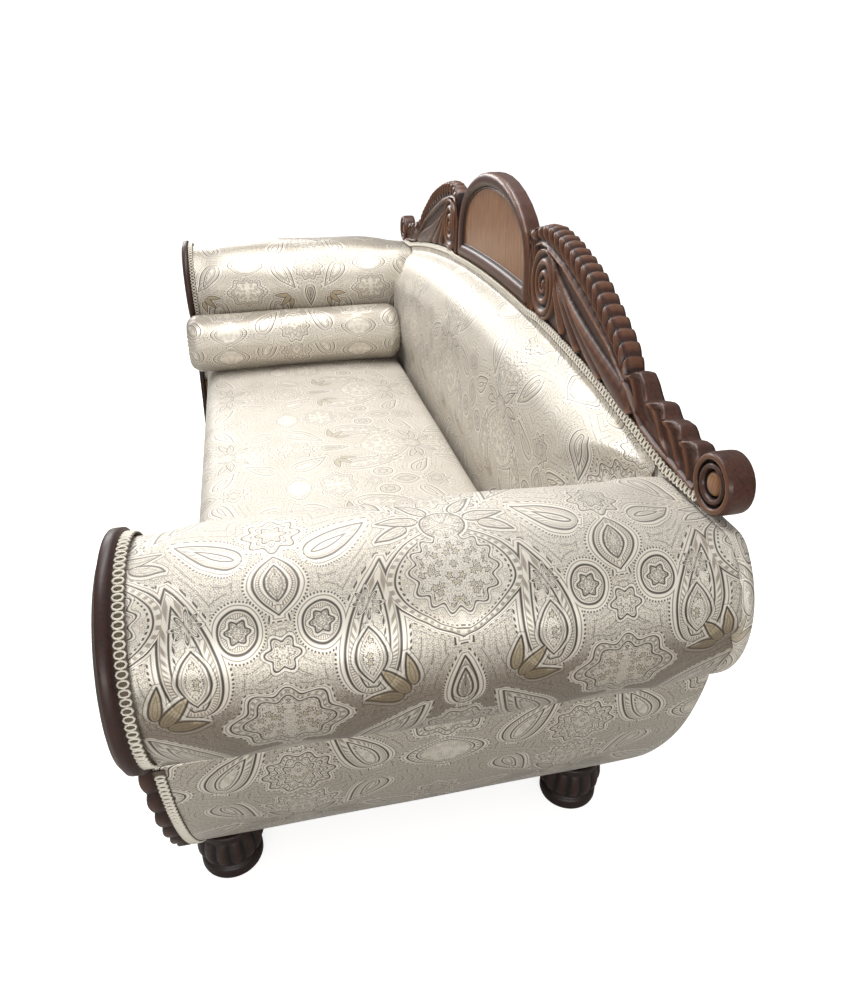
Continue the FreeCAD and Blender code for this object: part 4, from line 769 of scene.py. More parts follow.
def buildOutsideBack():
    o = outsideBack
    z = np.concatenate([np.linspace(o["low"], o["step"], 34), np.linspace(o["step"] + 0.0008, 0.784, 34)])
    across = np.linspace(-1, 1, 120)
    half = np.where(z <= o["step"], sidePoint(np.minimum(z, o["step"]), -outsideArm["edge"]), o["inner"])
    points = np.zeros((len(z), 2 * len(across), 3))
    for row, level in enumerate(z):
        x = across * half[row]
        top = np.minimum(level, crestLine(np.minimum(abs(x), o["inner"])) - 0.002)
        edge = smoothStep((1 - abs(across)) / 0.03)
        dish = o["dish"] * math.sin(math.pi * row / (len(z) - 1)) * (1 - across ** 2)
        y = o["back"] - 0.003 * (1 - edge) - dish
        rear = np.stack([x, y, top], axis=1)
        front = rear[::-1].copy()
        front[:, 1] = o["front"]
        points[row] = np.concatenate([rear, front])
    clothMap = np.concatenate([points[:, :, [0, 2]], points[:, :1, [0, 2]]], axis=1)
    piece = latticePiece("outsideBackCover", points, clothMap, fade=o["fade"])
    finishPiece(piece, "satinJacquard", ["outside_back"])


# bolster: a loose round cushion, its ends gathered on a covered button
bolsterRoll = {"x": -0.678, "z": 0.4728, "radius": 0.0835, "front": -0.377, "back": 0.257, "dome": 0.030,
               "gathers": 28, "lean": 0.018, "pressure": 4.0, "limit": 0.003}


def buildBolster():
    b = bolsterRoll
    body = np.linspace(b["front"] + b["dome"], b["back"] - b["dome"], 62)
    ends = [(0.0, 0.012), (0.10, 0.008), (0.16, 0.010), (0.3, 0.006), (0.5, 0.002), (0.7, 0.0), (0.86, 0.004),
            (0.95, 0.012), (0.99, 0.021)]
    rows = [(share, b["front"] + depth) for share, depth in ends]
    rows += [(1.0, place) for place in body]
    rows += [(share, b["back"] - depth) for share, depth in reversed(ends)]
    angles = np.radians(np.linspace(0, 360, 84, endpoint=False))
    points = []
    for share, place in rows:
        fold = 0.0026 * np.cos(b["gathers"] * angles) * np.sin(np.pi * np.clip((share - 0.12) / 0.88, 0, 1))
        outward = -1 if place < 0 else 1
        wave = 0.0015 * np.sin(3 * angles + 14 * place) * math.sin(9 * place) if share == 1 else 0
        radius = share * b["radius"] + wave
        aside = b["lean"] * smoothStep((0.1 - place) / 0.45)
        points.append(np.stack([b["x"] + aside + radius * np.cos(angles), place + outward * fold,
                                b["z"] + radius * np.sin(angles)], axis=1))
    points = np.array(points)
    run = lengths(np.array([(share * b["radius"], place) for share, place in rows]))
    turn = np.radians(np.linspace(0, 360, len(angles) + 1)) * b["radius"]
    clothMap = flatCloth(run, turn)
    # painted shade over the bolster's top and underside, a faint painted sheen on its sides
    height = np.sin(angles)
    shade = 0.1 - 0.7 * smoothStep((height - 0.5) / 0.4) - 0.4 * smoothStep((-0.3 - height) / 0.4)
    fade = np.repeat(shade[None, :], len(rows), axis=0)
    piece = latticePiece("bolsterCover", points, clothMap, capped=False, fade=fade)
    swell(piece, b["pressure"], lambda base: np.full(len(base), b["limit"]))
    finishPiece(piece, "satinJacquard", ["bolster"], "bolster")


# carved crest, metres; right wing, the left one is its mirror
crestWing = {"start": 0.266, "end": 0.905, "ground": 0.3445, "back": 0.3695, "gadroons": 18,
             "noseRise": 0.006, "ribsEnd": 0.690, "leavesFrom": 0.692, "shelfFrom": 0.806, "shelf": 0.6985,
             "top": [(0.266, 0.924), (0.29, 0.933), (0.316, 0.939), (0.359, 0.941), (0.422, 0.930),
                     (0.489, 0.911), (0.540, 0.893), (0.591, 0.866), (0.634, 0.842), (0.658, 0.828),
                     (0.681, 0.808), (0.690, 0.790), (0.697, 0.789), (0.708, 0.799), (0.720, 0.801),
                     (0.735, 0.792), (0.750, 0.777), (0.759, 0.770), (0.768, 0.775), (0.782, 0.780),
                     (0.794, 0.779), (0.803, 0.771), (0.810, 0.765), (0.820, 0.769), (0.842, 0.769),
                     (0.850, 0.763), (0.857, 0.755), (0.868, 0.760), (0.885, 0.761), (0.893, 0.755),
                     (0.905, 0.745)],
             "spine": [(0.266, 0.880), (0.285, 0.899), (0.315, 0.909), (0.348, 0.907), (0.423, 0.890),
                       (0.517, 0.855), (0.626, 0.812), (0.701, 0.768), (0.756, 0.733), (0.799, 0.724),
                       (0.848, 0.719), (0.905, 0.711)],
             "volute": (0.3405, 0.842, 0.0545, 0.0605), "turns": 3.2, "petalRoot": (0.375, 0.884),
             "petalTips": [(0.444, 0.779), (0.518, 0.770), (0.612, 0.757), (0.719, 0.741)],
             "leafTops": [0.690, 0.759, 0.810, 0.857, 0.903], "leafFeet": [0.735, 0.842, 0.872, 0.892, 0.910]}


def wingOutline():
    c = crestWing
    x = np.arange(c["start"], c["end"] + 0.0005, 0.001)
    table = np.array(c["top"])
    top = np.interp(x, table[:, 0], table[:, 1])
    padded = np.pad(top, 4, mode="edge")
    top = np.convolve(padded, np.ones(9) / 9, mode="valid")
    run = lengths(np.stack([x, top], axis=1))
    return x, top, run


def wingRelief(x, z, top, run, runEnd):
    c = crestWing
    spineTable = np.array(c["spine"])
    spine = np.interp(x, spineTable[:, 0], spineTable[:, 1])
    depth = np.maximum(top - z, 0)
    fall = depth / np.maximum(top - spine, 0.004)  # 0 at the nose, 1 on the spine
    edge = np.sqrt(np.clip(1 - (1 - np.clip(depth / 0.009, 0, 1)) ** 2, 0, 1))
    pitch = runEnd / c["gadroons"]
    rib = np.abs(np.sin(np.pi * (run - 0.25 * depth - 16 * depth ** 2) / pitch)) ** 0.8
    ribbed = smoothStep((0.92 - fall) / 0.5)
    nose = (0.0022 + 0.0085 * rib) * (0.35 + 0.65 * edge)
    cove = 0.0016 + 0.0075 * np.clip((fall - 0.55) / 0.45, 0, 1) ** 2
    above = ribbed * nose + (1 - ribbed) * cove
    # leaves beyond the gadroons: hollow blades with raised rims, each over the next
    lift = np.clip((z - spine) / np.maximum(top - spine, 0.004), 0, 1)
    leaf = np.zeros_like(x)
    inLeaf = np.zeros_like(x)
    for k in range(4):
        low = c["leafFeet"][k] + (c["leafTops"][k] - c["leafFeet"][k]) * lift ** 0.75
        high = c["leafFeet"][k + 1] + (c["leafTops"][k + 1] - c["leafFeet"][k + 1]) * lift ** 0.75
        share = (x - low) / np.maximum(high - low, 0.001)
        here = (share >= 0) & (share < 1) & (z > spine)
        rim = np.abs(2 * share - 1)
        blade = 0.0035 + 0.0065 * rim ** 3 * (1 - 0.55 * share)
        blade = blade - 0.004 * (1 - rim ** 2) * smoothStep((lift - 0.1) / 0.3)
        groove = smoothStep((1 - rim) / 0.12)
        leaf = np.where(here, blade * groove + 0.003 * smoothStep((lift - 0.8) / 0.15), leaf)
        inLeaf = np.where(here, 1, inLeaf)
    above = np.where(x > c["leavesFrom"], np.where(inLeaf > 0, leaf, 0.002), above)
    # ground below the spine with long teardrop petals
    below = np.full_like(x, 0.0012)
    rootX, rootZ = c["petalRoot"]
    for tipX, tipZ in c["petalTips"]:
        span = math.hypot(tipX - rootX, tipZ - rootZ)
        ux, uz = (tipX - rootX) / span, (tipZ - rootZ) / span
        bow = 0.10 * span
        along = ((x - rootX) * ux + (z - rootZ) * uz) / span
        aside = (x - rootX) * -uz + (z - rootZ) * ux
        aside = aside + bow * 0.35 * np.sin(np.pi * np.clip(along, 0, 1))
        full = 0.0128 + 0.0055 * (span - 0.12) / 0.24
        half = np.where(along < 0.86, 0.0022 + (full - 0.0022) * smoothStep(along / 0.86) ** 1.1,
                        full * np.sqrt(np.clip(1 - ((along - 0.86) / 0.14) ** 2, 0, 1)))
        dome = np.sqrt(np.clip(1 - (aside / np.maximum(half, 1e-4)) ** 2, 0, 1)) * (along > 0) * (along < 1)
        below = np.maximum(below, 0.0012 + 0.0098 * dome * (0.45 + 0.55 * smoothStep(along / 0.4)))
    h = np.where(z > spine, above, below)
    ridge = np.exp(-((z - spine) / 0.0042) ** 2) * smoothStep((x - 0.335) / 0.02)
    h = np.maximum(h, 0.0098 * ridge)
    # volute beside the tablet
    cx, cz, halfX, halfZ = c["volute"]
    far = np.hypot((x - cx) / halfX, (z - cz) / halfZ)
    bearing = np.arctan2(z - cz, -(x - cx))
    coil = 0.5 + 0.5 * np.cos(2 * np.pi * (c["turns"] * far ** 0.9) - bearing)
    winding = 0.0025 + 0.0085 * coil ** 0.7
    winding = np.where(far < 0.17, 0.0105 * np.sqrt(np.clip(1 - (far / 0.19) ** 2, 0, 1)), winding)
    border = 0.0105 * np.exp(-((far - 1.0) / 0.06) ** 2)
    h = np.where(far < 1.02, np.maximum(winding, border), np.maximum(h, border))
    # fluted husk against the tablet
    husk = smoothStep((0.296 - x) / 0.006) * (far > 1.02)
    flute = 0.0045 + 0.0045 * np.abs(np.sin(np.pi * (x - 0.266) / 0.0085 + 10 * (z - 0.85)))
    curl = 0.004 * np.exp(-((z - 0.921) / 0.007) ** 2)
    return h + husk * (np.maximum(flute, h) + curl - h)


def blurred(table, reach):
    total = np.zeros_like(table)
    wide = np.pad(table, reach, mode="edge")
    for i in range(2 * reach + 1):
        for j in range(2 * reach + 1):
            total += wide[i:i + table.shape[0], j:j + table.shape[1]]
    return total / (2 * reach + 1) ** 2


def buildWings():
    c = crestWing
    outX, outTop, outRun = wingOutline()
    x = np.linspace(c["start"], c["end"], 420)
    smoothTop = np.interp(x, outX, outTop)
    run = np.interp(x, outX, outRun)
    runEnd = np.interp(c["ribsEnd"], outX, outRun)
    scallop = np.abs(np.sin(np.pi * run / (runEnd / c["gadroons"]))) ** 0.8
    rise = c["noseRise"] * (scallop - 0.5)
    rise = rise * smoothStep((c["leavesFrom"] - x) / 0.004) * smoothStep((x - 0.30) / 0.02)
    top = smoothTop + rise
    bend = c["shelfFrom"]
    falling = np.maximum(c["shelf"], crestLine(bend) - (x - bend) * 0.8)
    base = np.where(x < bend, crestLine(np.minimum(x, bend)), falling) + 0.0006
    share = 1 - (1 - np.linspace(0, 1, 96)) ** 1.2
    z = base[:, None] + (top - base)[:, None] * share[None, :]
    wideX = np.repeat(x[:, None], z.shape[1], axis=1)
    h = wingRelief(wideX, z, np.repeat(top[:, None], z.shape[1], axis=1),
                   np.repeat(run[:, None], z.shape[1], axis=1), runEnd)
    front = np.stack([wideX, c["ground"] - h, z], axis=2)
    # relief less its blur: above zero gives the painted highlight on high edges, below zero the painted shade
    # in the cuts
    carving = np.clip((h - blurred(h, 5)) / 0.0032, -1, 1)
    rim = []
    for part, bulge in ((0.2, 0.0022), (0.5, 0.003), (0.8, 0.0016), (1.0, 0.0)):
        y = front[:, -1, 1] + (c["back"] - front[:, -1, 1]) * part
        rim.append(np.stack([x, y, top + bulge], axis=1))
    for level in (0.98, 0.5, 0.0):
        rim.append(np.stack([x, np.full(len(x), c["back"]), base + (top - base) * level], axis=1))
    points = np.concatenate([front, np.stack(rim, axis=1)], axis=1)
    # on the top rim: painted highlight on the gadroon noses, painted shade between them
    rimCarving = np.repeat(((scallop - 0.55) * 1.4 * (x < c["ribsEnd"]))[:, None], len(rim), axis=1)
    rimCarving[:, 3:] = 0
    carving = np.concatenate([carving, np.clip(rimCarving, -1, 0.5)], axis=1)
    for side, placed in bothSides(points).items():
        wing = latticePiece(side + "CrestWing", placed, carving=carving)
        scroll = buildScroll(side)
        joinTo(wing, scroll)
        finishPiece(wing, "polishedMahogany", ["crest_" + side + "_wing"])


# scroll at the crest's end: a thick disc with a rim, a groove dark with painted shade, and a round eye
crestScroll = {"x": 0.943, "z": 0.738,
               "rings": [(0.0, 0.345), (0.0165, 0.345), (0.0172, 0.3445), (0.0185, 0.338),
                         (0.0205, 0.3345), (0.0235, 0.3335), (0.0262, 0.3355), (0.0275, 0.3405),
                         (0.0288, 0.3405), (0.0302, 0.335), (0.0325, 0.3325), (0.0355, 0.3325),
                         (0.0382, 0.3345), (0.0396, 0.339), (0.0400, 0.346), (0.0400, 0.362),
                         (0.0394, 0.3685), (0.0375, 0.3705), (0.0, 0.3705)],
               "eye": [(0.0, 0.3352), (0.006, 0.3354), (0.011, 0.3364), (0.0145, 0.3385), (0.0160, 0.342),
                       (0.0160, 0.3448), (0.0, 0.3448)]}


def latheAlongY(name, rings, x, z, around, **values):
    angles = np.radians(np.linspace(0, 360, around, endpoint=False))
    points = np.array([np.stack([x + r * np.cos(angles), np.full(around, y), z + r * np.sin(angles)], axis=1)
                       for r, y in rings])
    values = {key: np.repeat(np.array(row)[:, None], around, axis=1) for key, row in values.items()}
    return latticePiece(name, points, capped=False, **values)


def buildScroll(side):
    s = crestScroll
    turn = 1 if side == "right" else -1
    fine = resample(s["rings"], 0.0012)
    # painted shade in the two grooves, painted highlight on the ring between rim and eye
    hollow = [-1.0 if (0.0165 < r < 0.0190 or 0.0265 < r < 0.0300) and y < 0.346 else
              0.5 if 0.0305 < r < 0.0375 and y < 0.336 else 0.0 for r, y in fine]
    return latheAlongY(side + "CrestScroll", fine, turn * s["x"], s["z"], 72, carving=hollow)


def buildScrollEyes():
    for side, turn in (("right", 1), ("left", -1)):
        eye = latheAlongY(side + "ScrollEye", resample(crestScroll["eye"], 0.0012), turn * crestScroll["x"],
                          crestScroll["z"], 48)
        finishPiece(eye, "veneerMahogany", ["crest_" + side + "_scroll_eye"])


# middle tablet: an arched frame with a thick rounded edge round a plain veneered panel
crestTablet = {"half": [(0.2570, 0.7800), (0.2592, 0.800), (0.2590, 0.826), (0.2550, 0.856),
                        (0.2460, 0.886), (0.2300, 0.914), (0.2060, 0.9365), (0.1720, 0.958),
                        (0.1300, 0.976), (0.0860, 0.989), (0.0430, 0.996), (0.0, 0.998)],
               "profile": [(0.0, 0.3695), (0.0, 0.346), (0.0012, 0.341), (0.0045, 0.3372),
                           (0.0095, 0.3355), (0.016, 0.3350), (0.023, 0.3358), (0.029, 0.3378),
                           (0.0325, 0.3405), (0.0340, 0.3445), (0.0352, 0.3445), (0.0365, 0.3425),
                           (0.0380, 0.3430), (0.0385, 0.3455), (0.0385, 0.3695)],
               "panelIn": 0.0345, "panelFront": 0.3455, "panelBack": 0.3535}


# a line inside the tablet's outline, so far in from its sides and up from its foot
def tabletRing(inset, y):
    half = resample(crestTablet["half"], 0.006)
    wide, low = crestTablet["half"][0]
    high = crestTablet["half"][-1][1]
    narrow = 1 - inset / wide
    right = half.copy()
    right[:, 0] *= narrow
    shrink = (high - low - 1.75 * inset) / (high - low)
    right[:, 1] = low + inset * 0.9 + (half[:, 1] - low) * shrink
    foot = np.linspace(-wide * narrow, wide * narrow, 90)
    sole = np.stack([foot, crestLine(foot) + 0.0012 + inset * 0.9], axis=1)
    right[0, 1] = sole[-1, 1]
    line = np.concatenate([sole[:-1], right[:-1], right[::-1] * np.array([-1, 1])])[:-1]
    return np.stack([line[:, 0], np.full(len(line), y), line[:, 1]], axis=1)


def buildTablet():
    t = crestTablet
    profile = resample(t["profile"], 0.0022)
    rings = [tabletRing(inset, y) for inset, y in profile]
    rings.append(rings[0])
    # painted shade in the groove by the panel, painted highlight on the frame's outer edge, a faint painted
    # highlight elsewhere
    hollow = [-1.0 if 0.0325 < inset < 0.0362 and y < 0.346 else
              0.45 if 0.001 < inset < 0.008 and y < 0.342 else 0.05 for inset, y in profile]
    carving = np.repeat(np.array(hollow + hollow[:1])[:, None], rings[0].shape[0], axis=1)
    piece = latticePiece("crestTabletFrame", np.array(rings), capped=False, carving=carving)
    finishPiece(piece, "polishedMahogany", ["crest_tablet_frame"])
    border = tabletRing(t["panelIn"], t["panelFront"])
    middle = np.array([0.0, 0.0, 0.875])
    rings = []
    steps = [(share, t["panelFront"] - 0.0012 * (1 - share ** 2)) for share in np.linspace(0, 1, 14)]
    for share, y in steps + [(1.0, t["panelBack"]), (0.0, t["panelBack"])]:
        ring = middle + (border - middle) * share
        ring[:, 1] = y
        rings.append(ring)
    panel = latticePiece("crestTabletPanel", np.array(rings), capped=False)
    finishPiece(panel, "veneerMahogany", ["crest_tablet_panel"])


# feet: turned, with reeds round the body
foot = {"places": {"front_right": (0.756, -0.315), "front_left": (-0.756, -0.315),
                   "back_right": (0.756, 0.297), "back_left": (-0.756, 0.297)},
        "reeds": 14, "reedDepth": 0.0052,
        "rings": [(0.0, 0.0), (0.046, 0.0), (0.0495, 0.002), (0.051, 0.006), (0.051, 0.017),
                  (0.0495, 0.0215), (0.0465, 0.024), (0.0445, 0.0265), (0.0445, 0.0285), (0.0475, 0.031),
                  (0.052, 0.037), (0.0552, 0.047), (0.056, 0.058), (0.0548, 0.070), (0.052, 0.080),
                  (0.0485, 0.086), (0.0485, 0.088), (0.0508, 0.0895), (0.0512, 0.094), (0.050, 0.0985),
                  (0.046, 0.0995), (0.020, 0.0995), (0.020, 0.144), (0.0, 0.144)]}


def buildFeet():
    rings = resample(foot["rings"], 0.0022)
    angles = np.radians(np.linspace(0, 360, foot["reeds"] * 9, endpoint=False))
    reed = np.abs(np.sin(foot["reeds"] / 2 * angles)) ** 0.7
    for name, (x, y) in foot["places"].items():
        points, carving = [], []
        for radius, z in rings:
            body = smoothStep((z - 0.030) / 0.010) * smoothStep((0.087 - z) / 0.010) * (radius > 0.03)
            r = radius - foot["reedDepth"] * body * (1 - reed)
            points.append(np.stack([x + r * np.cos(angles), y + r * np.sin(angles), np.full(len(angles), z)],
                                   axis=1))
            # painted highlight on the reed ridges, painted shade between them
            carving.append(np.clip(1.6 * (reed - 0.75), -1, 0.35) * body)
        words = name.split("_")
        piece = latticePiece(words[0] + words[1].capitalize() + "Foot", np.array(points), capped=False,
                             carving=np.array(carving))
        finishPiece(piece, "shadedFeetMahogany", [name + "_foot"])


# arm facing: a carved scroll round the rosette over a leg with gadroons along its outer edge
armFacing = {"front": -0.3738, "back": -0.3583, "hole": 0.0428, "band": 0.031, "beadHeight": 0.0045,
             "lobes": 7, "lobeRise": 0.005, "legTop": 0.50,
             "inner": [(0.1005, 0.718), (0.2, 0.718), (0.26, 0.7478), (0.3433, 0.776), (0.42, 0.790),
                       (0.50, 0.7985)]}


def buildFacings():
    f = armFacing
    angles = np.radians(np.linspace(0, 360, 168, endpoint=False))
    radii = np.linspace(f["hole"], armRoll["radius"] - 0.002, 58)
    winding = 2 * np.pi * (armRoll["radius"] - 0.012 - radii[:, None]) / f["band"]
    coil = 0.5 + 0.5 * np.cos(winding - angles[None, :])
    coil = coil ** 2 * smoothStep((radii[:, None] - f["hole"] - 0.003) / 0.012)
    coil = coil * smoothStep((armRoll["radius"] - 0.003 - radii[:, None]) / 0.006)
    rings = []
    # painted highlight on the raised coil, painted shade between its turns; below, painted shade in the hole
    # and a faint painted highlight at the rim
    for r, row in zip(radii, coil):
        y = f["front"] + 0.0012 * smoothStep((r - armRoll["radius"] + 0.006) / 0.004) - f["beadHeight"] * row
        rings.append((r, y, 0.7 * row - 0.35))
    flat = np.zeros(len(angles))
    rings = [(f["hole"], f["back"] + flat, flat - 1),
             (f["hole"], f["front"] + 0.004 + flat, flat - 1)] + rings
    rings += [(armRoll["radius"] - 0.0006, f["front"] + 0.0025 + flat, flat + 0.2),
              (armRoll["radius"], f["front"] + 0.005 + flat, flat),
              (armRoll["radius"], f["back"] + flat, flat), (f["hole"], f["back"] + flat, flat)]
    disc = np.array([np.stack([armRoll["x"] + r * np.cos(angles), y, armRoll["z"] + r * np.sin(angles)],
                              axis=1) for r, y, c in rings])
    discCarving = np.array([c for r, y, c in rings])
    z = np.linspace(0.1005, f["legTop"], 150)
    share = (z - z[0]) / (outsideArm["high"] - z[0])
    lobe = np.abs(np.sin(np.pi * f["lobes"] * share)) ** 0.8 * (share < 1)
    inner = np.interp(z, *np.array(f["inner"]).T)
    outer = np.where(share < 1, sidePoint(np.minimum(z, outsideArm["high"]), 0), 0.97) + f["lobeRise"] * lobe
    across = np.sin(np.linspace(0, 1, 34) * math.pi / 2)
    legX = inner[:, None] + (outer - inner)[:, None] * across[None, :]
    legZ = np.repeat(z[:, None], len(across), axis=1)
    reach = smoothStep((across[None, :] - 0.35) / 0.5)
    slanted = np.abs(np.sin(np.pi * f["lobes"] * (share[:, None] - 0.12 * (1 - across[None, :])))) ** 0.8
    edge = np.sqrt(np.clip(1 - (1 - np.clip((outer[:, None] - legX) / 0.006, 0, 1)) ** 2, 0, 1))
    h = 0.005 * slanted * reach * (0.3 + 0.7 * edge) - 0.0015
    leg = np.stack([legX, f["front"] - h + 0.001, legZ], axis=2)
    behind = np.stack([legX[:, ::-11], np.full(legX[:, ::-11].shape, f["back"]), legZ[:, ::-11]], axis=2)
    # painted highlight on the leg's gadroons, painted shade between them
    legCarving = np.concatenate([(1.5 * slanted - 1.0) * reach, np.zeros(behind.shape[:2])], axis=1)
    leg = np.concatenate([leg, behind], axis=1)
    discs, legs = bothSides(disc), bothSides(leg)
    for side in discs:
        piece = latticePiece(side + "ArmFacing", legs[side], carving=np.clip(legCarving, -1, 0.4))
        scroll = latticePiece(side + "FacingScroll", discs[side], capped=False, carving=discCarving)
        joinTo(piece, scroll)
        finishPiece(piece, "shadedFacingMahogany", [side + "_arm_facing"])


# gimp: a row of loops over a dark sheet, painted shade for the holes between the loops; each loop a ring of
# few faces
gimpBraid = {"width": 0.0160, "pitch": 0.0098, "along": 0.0040, "across": 0.0056, "wire": 0.0019,
             "raise": 0.0014, "holeShade": 0.0009, "inset": 0.0068, "tilt": 0.45, "ringSides": 8, "wireSides": 3}


def buildGimp(name, path, across, out, nodes):
    g = gimpBraid
    path, across, out = (np.asarray(part, float) for part in (path, across, out))
    run = lengths(path)
    count = int(run[-1] / g["pitch"])
    ringSides, wireSides = g["ringSides"], g["wireSides"]
    ringTurn = np.radians(np.linspace(0, 360, ringSides, endpoint=False))
    wireTurn = np.radians(np.linspace(0, 360, wireSides, endpoint=False) + 90)
    points, faces = [], []
    for number in range(count):
        place = (number + 0.5) * g["pitch"]
        at, side, lift = (np.array([np.interp(place, run, part[:, k]) for k in range(3)])
                          for part in (path, across, out))
        ahead = np.array([np.interp(place + 0.002, run, path[:, k]) for k in range(3)])
        behind = np.array([np.interp(place - 0.002, run, path[:, k]) for k in range(3)])
        tangent = (ahead - behind) / np.linalg.norm(ahead - behind)
        centre = at - tangent * 0.25 * g["pitch"] + lift * g["raise"]
        start = len(points)
        for a in ringTurn:
            radial = tangent * math.cos(a) + side * math.sin(a)
            onRing = centre + tangent * g["along"] * math.cos(a) + side * g["across"] * math.sin(a)
            for b in wireTurn:
                points.append(onRing + g["wire"] * (radial * math.cos(b) + lift * math.sin(b)))
        for i in range(ringSides):
            here, beyond = start + i * wireSides, start + (i + 1) % ringSides * wireSides
            for j in range(wireSides):
                faces.append([here + j, here + (j + 1) % wireSides, beyond + (j + 1) % wireSides, beyond + j])
    mesh = bpy.data.meshes.new(name)
    mesh.from_pydata([tuple(p) for p in points], [], faces)
    finishPiece(meshPiece(name, mesh), "cottonGimp", nodes)
    # the dark sheet under the loops: painted shade in the holes
    half = g["width"] / 2 - 0.0008
    low, high, lift = path - across * half, path + across * half, out * g["holeShade"]
    strip = np.stack([low, low + lift, high + lift, high], axis=1)
    holeShade = latticePiece(name + "Tape", strip)
    finishPiece(holeShade, "gimpTape", [])


def buildSideGimps(part, path, out):
    sideways = np.tile([0.0, 1.0, 0.0], (len(path), 1))
    for side, turn in (("right", 1), ("left", -1)):
        flip = np.array([turn, 1, 1])
        nodes = [side + "_" + part.lower() + "_gimp"]
        buildGimp(side + part + "Gimp", path * flip, sideways, out * flip, nodes)


def buildGimps():
    x = np.linspace(-0.93, 0.93, 220)
    lean = smoothStep((abs(x) - 0.262) / 0.08)  # upright under the tablet, leaning past it
    tilt = gimpBraid["tilt"] * lean
    z = np.maximum(crestLine(x) - 0.003 + 0.0035 * lean, 0.7045)
    across = np.stack([-np.gradient(z, x), tilt, np.ones(len(x))], axis=1)
    out = np.stack([np.zeros(len(x)), -np.ones(len(x)), tilt], axis=1)
    across, out = unit(across), unit(out)
    buildGimp("crestGimp", np.stack([x, 0.3338 + 0.0047 * lean, z], axis=1), across, out, ["back_gimp"])
    angles = np.radians(np.linspace(armRoll["crease"] + 3, armRoll["inner"] - 1, 90))
    out = np.stack([np.cos(angles), np.zeros(len(angles)), np.sin(angles)], axis=1)
    rim = np.array([armRoll["x"], armRoll["front"] + gimpBraid["inset"], armRoll["z"]]) + out * 0.1335
    buildSideGimps("Arm", rim, out)
    z = np.linspace(0.104, 0.452, 60)
    x = sidePoint(z, 0.0004)
    slope = np.gradient(x, z)
    out = unit(np.stack([np.ones(len(z)), np.zeros(len(z)), -slope], axis=1))
    edge = np.stack([x, np.full(len(z), armRoll["front"] + gimpBraid["inset"]), z], axis=1)
    buildSideGimps("Side", edge, out)
    x = np.linspace(-0.716, 0.716, 40)
    buildGimp("railGimp", np.stack([x, np.full(40, -0.3523), np.full(40, 0.1985)], axis=1),
              np.tile([0.0, 0.0, 1.0], (40, 1)), np.tile([0.0, -1.0, 0.0], (40, 1)), ["front_rail_gimp"])


# black cambric under the seat, stretched and tacked to the rails, notched at the feet
bottomCloth = {"short": 0.696, "full": 0.755, "front": -0.342, "back": 0.356, "footFront": -0.255,
               "footBack": 0.237, "z": 0.0952}


def buildBottomCloth():
    b = bottomCloth
    right = [(b["short"], b["front"]), (b["short"], b["footFront"]), (b["full"], b["footFront"]),
             (b["full"], b["footBack"]),
             (b["short"], b["footBack"]), (b["short"], b["back"])]
    corners = right + [(-x, y) for x, y in reversed(right)]
    work = bmesh.new()
    work.faces.new([work.verts.new((x, y, b["z"])) for x, y in corners])
    mesh = bpy.data.meshes.new("bottomCambric")
    work.to_mesh(mesh)
    work.free()
    piece = bpy.data.objects.new("bottomCambric", mesh)
    scene.collection.objects.link(piece)
    wall = piece.modifiers.new("thickness", "SOLIDIFY")
    wall.thickness = 0.0006
    applyModifiers(piece)
    finishPiece(piece, "blackCambric", ["bottom_cloth"])


# webbing and hessian keep their CAD form, as woven copies
def buildWovenCopies():
    for node, name, finish in (("seat_webbing", "seatWebbing", "juteWebbing"),
                               ("back_webbing", "backWebbing", "juteWebbing"),
                               ("seat_hessian", "seatHessian", "juteHessian")):
        piece = bpy.data.objects.new(name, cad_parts[node].data.copy())
        scene.collection.objects.link(piece)
        work = bmesh.new()
        work.from_mesh(piece.data)
        bmesh.ops.remove_doubles(work, verts=work.verts, dist=1e-5)
        work.to_mesh(piece.data)
        work.free()
        finishPiece(piece, finish, [node])


# CAD nodes that stay: the frame in beech, the front rail and rosettes polished, the springs in steel
def dressFrame():
    for name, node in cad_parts.items():
        if node.hide_render:
            continue
        finish = "sawnBeech"
        if name == "seat_springs":
            finish = "springSteel"
        if name == "front_seat_rail" or "rosette" in name:
            finish = "polishedMahogany"
        for place in node.material_slots:
            place.material = finishes[finish]


# plain pale floor and soft light: an overhead box, one behind the camera and one beyond the far arm
studio = {"floor": "#c9c7c3", "sky": "#ffffff", "skyHigh": 0.57, "skyLow": 0.05, "floorLift": 0.80,
          "boxes": [("overheadBox", (-0.35, -0.1, 2.5), (-0.3, 0.0, 0.4), 0.6, 2.4, 46),
                    ("cameraBox", (3.7, -0.5, 1.30), (1.0, 0.0, 0.62), 0.22, 2.6, 46),
                    ("farBox", (-3.4, -0.9, 2.0), (0.0, 0.0, 0.5), 1.2, 2.0, 66)]}


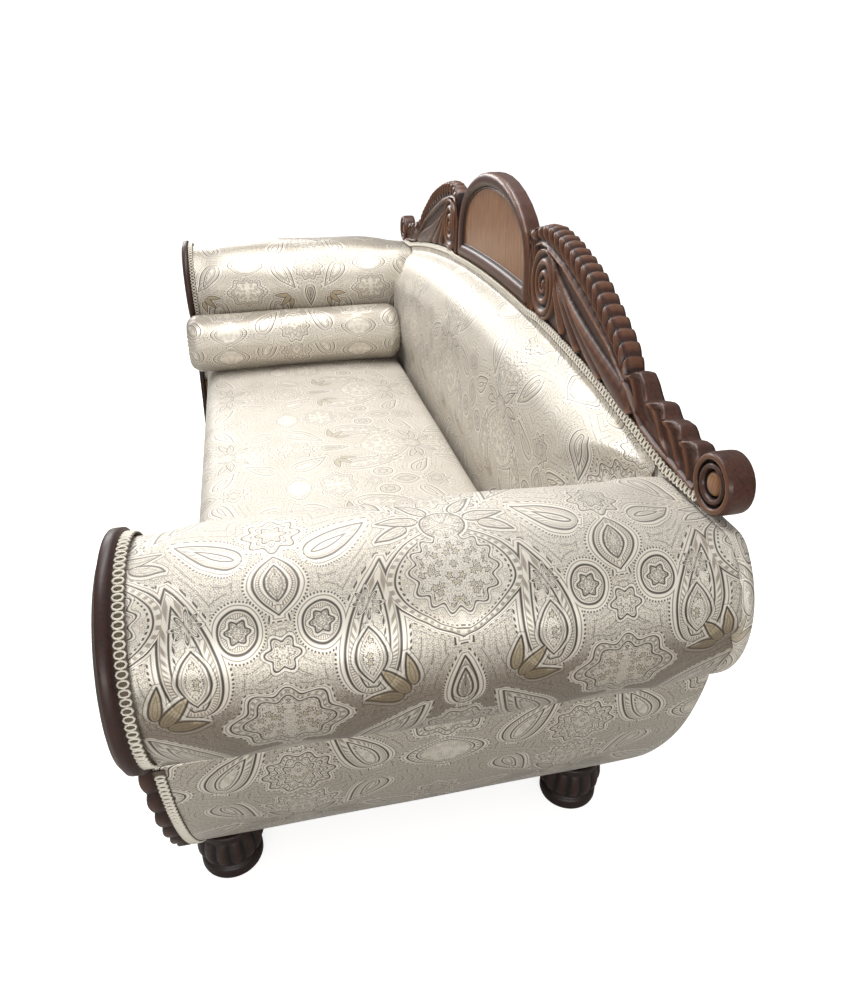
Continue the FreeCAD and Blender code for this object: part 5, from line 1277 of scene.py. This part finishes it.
def buildStudio():
    bpy.ops.mesh.primitive_plane_add(size=60)
    floor = bpy.context.object
    floor.name = "studioFloor"
    material, tree, shader = newMaterial("mattPaintedFloor",
                                         **{"Base Color": hexColour(studio["floor"]), "Roughness": 0.9,
                                                                "Specular IOR Level": 0.1,
                                                                "Emission Color": (1, 1, 1, 1)})
    sight = addNode(tree, "ShaderNodeLightPath").outputs["Is Camera Ray"]
    tree.links.new(formula(tree, "sight * lift", sight=sight, lift=studio["floorLift"]),
                   shader.inputs["Emission Strength"])
    floor.data.materials.append(material)
    world = bpy.data.worlds.new("studioLight")
    scene.world = world
    world.use_nodes = True
    tree = world.node_tree
    tree.nodes.clear()
    sight = addNode(tree, "ShaderNodeLightPath").outputs["Is Camera Ray"]
    up = addNode(tree, "ShaderNodeSeparateXYZ", None,
                 {0: addNode(tree, "ShaderNodeTexCoord").outputs["Generated"]}).outputs[2]
    level = formula(tree, "low + (high - low) * share(up * 1.3 + 0.15)", low=studio["skyLow"],
                    high=studio["skyHigh"], up=up)
    strength = formula(tree, "level + sight * (1 - level)", level=level, sight=sight)
    sky = addNode(tree, "ShaderNodeBackground", None,
                  {"Color": hexColour(studio["sky"]), "Strength": strength})
    addNode(tree, "ShaderNodeOutputWorld", None, {"Surface": sky.outputs[0]})
    for name, place, aim, wide, long, power in studio["boxes"]:
        bpy.ops.object.light_add(type="AREA", location=place)
        lamp = bpy.context.object
        lamp.name = name
        lamp.data.shape = "RECTANGLE"
        lamp.data.size = long
        lamp.data.size_y = wide
        lamp.data.energy = power
        lamp.rotation_euler = (Vector(aim) - Vector(place)).to_track_quat("-Z", "Y").to_euler()


for stage in (addCamera, buildStudio, buildSeat, buildBack, buildArms, buildOutsideArms, buildArmEnds,
              buildOutsideBack,
              buildBolster, buildWings, buildScrollEyes, buildTablet, buildFeet, buildFacings, buildGimps,
              buildBottomCloth,
              buildWovenCopies, dressFrame):
    bpy.ops.object.select_all(action="DESELECT")
    stage()
    print("stage done:", stage.__name__)
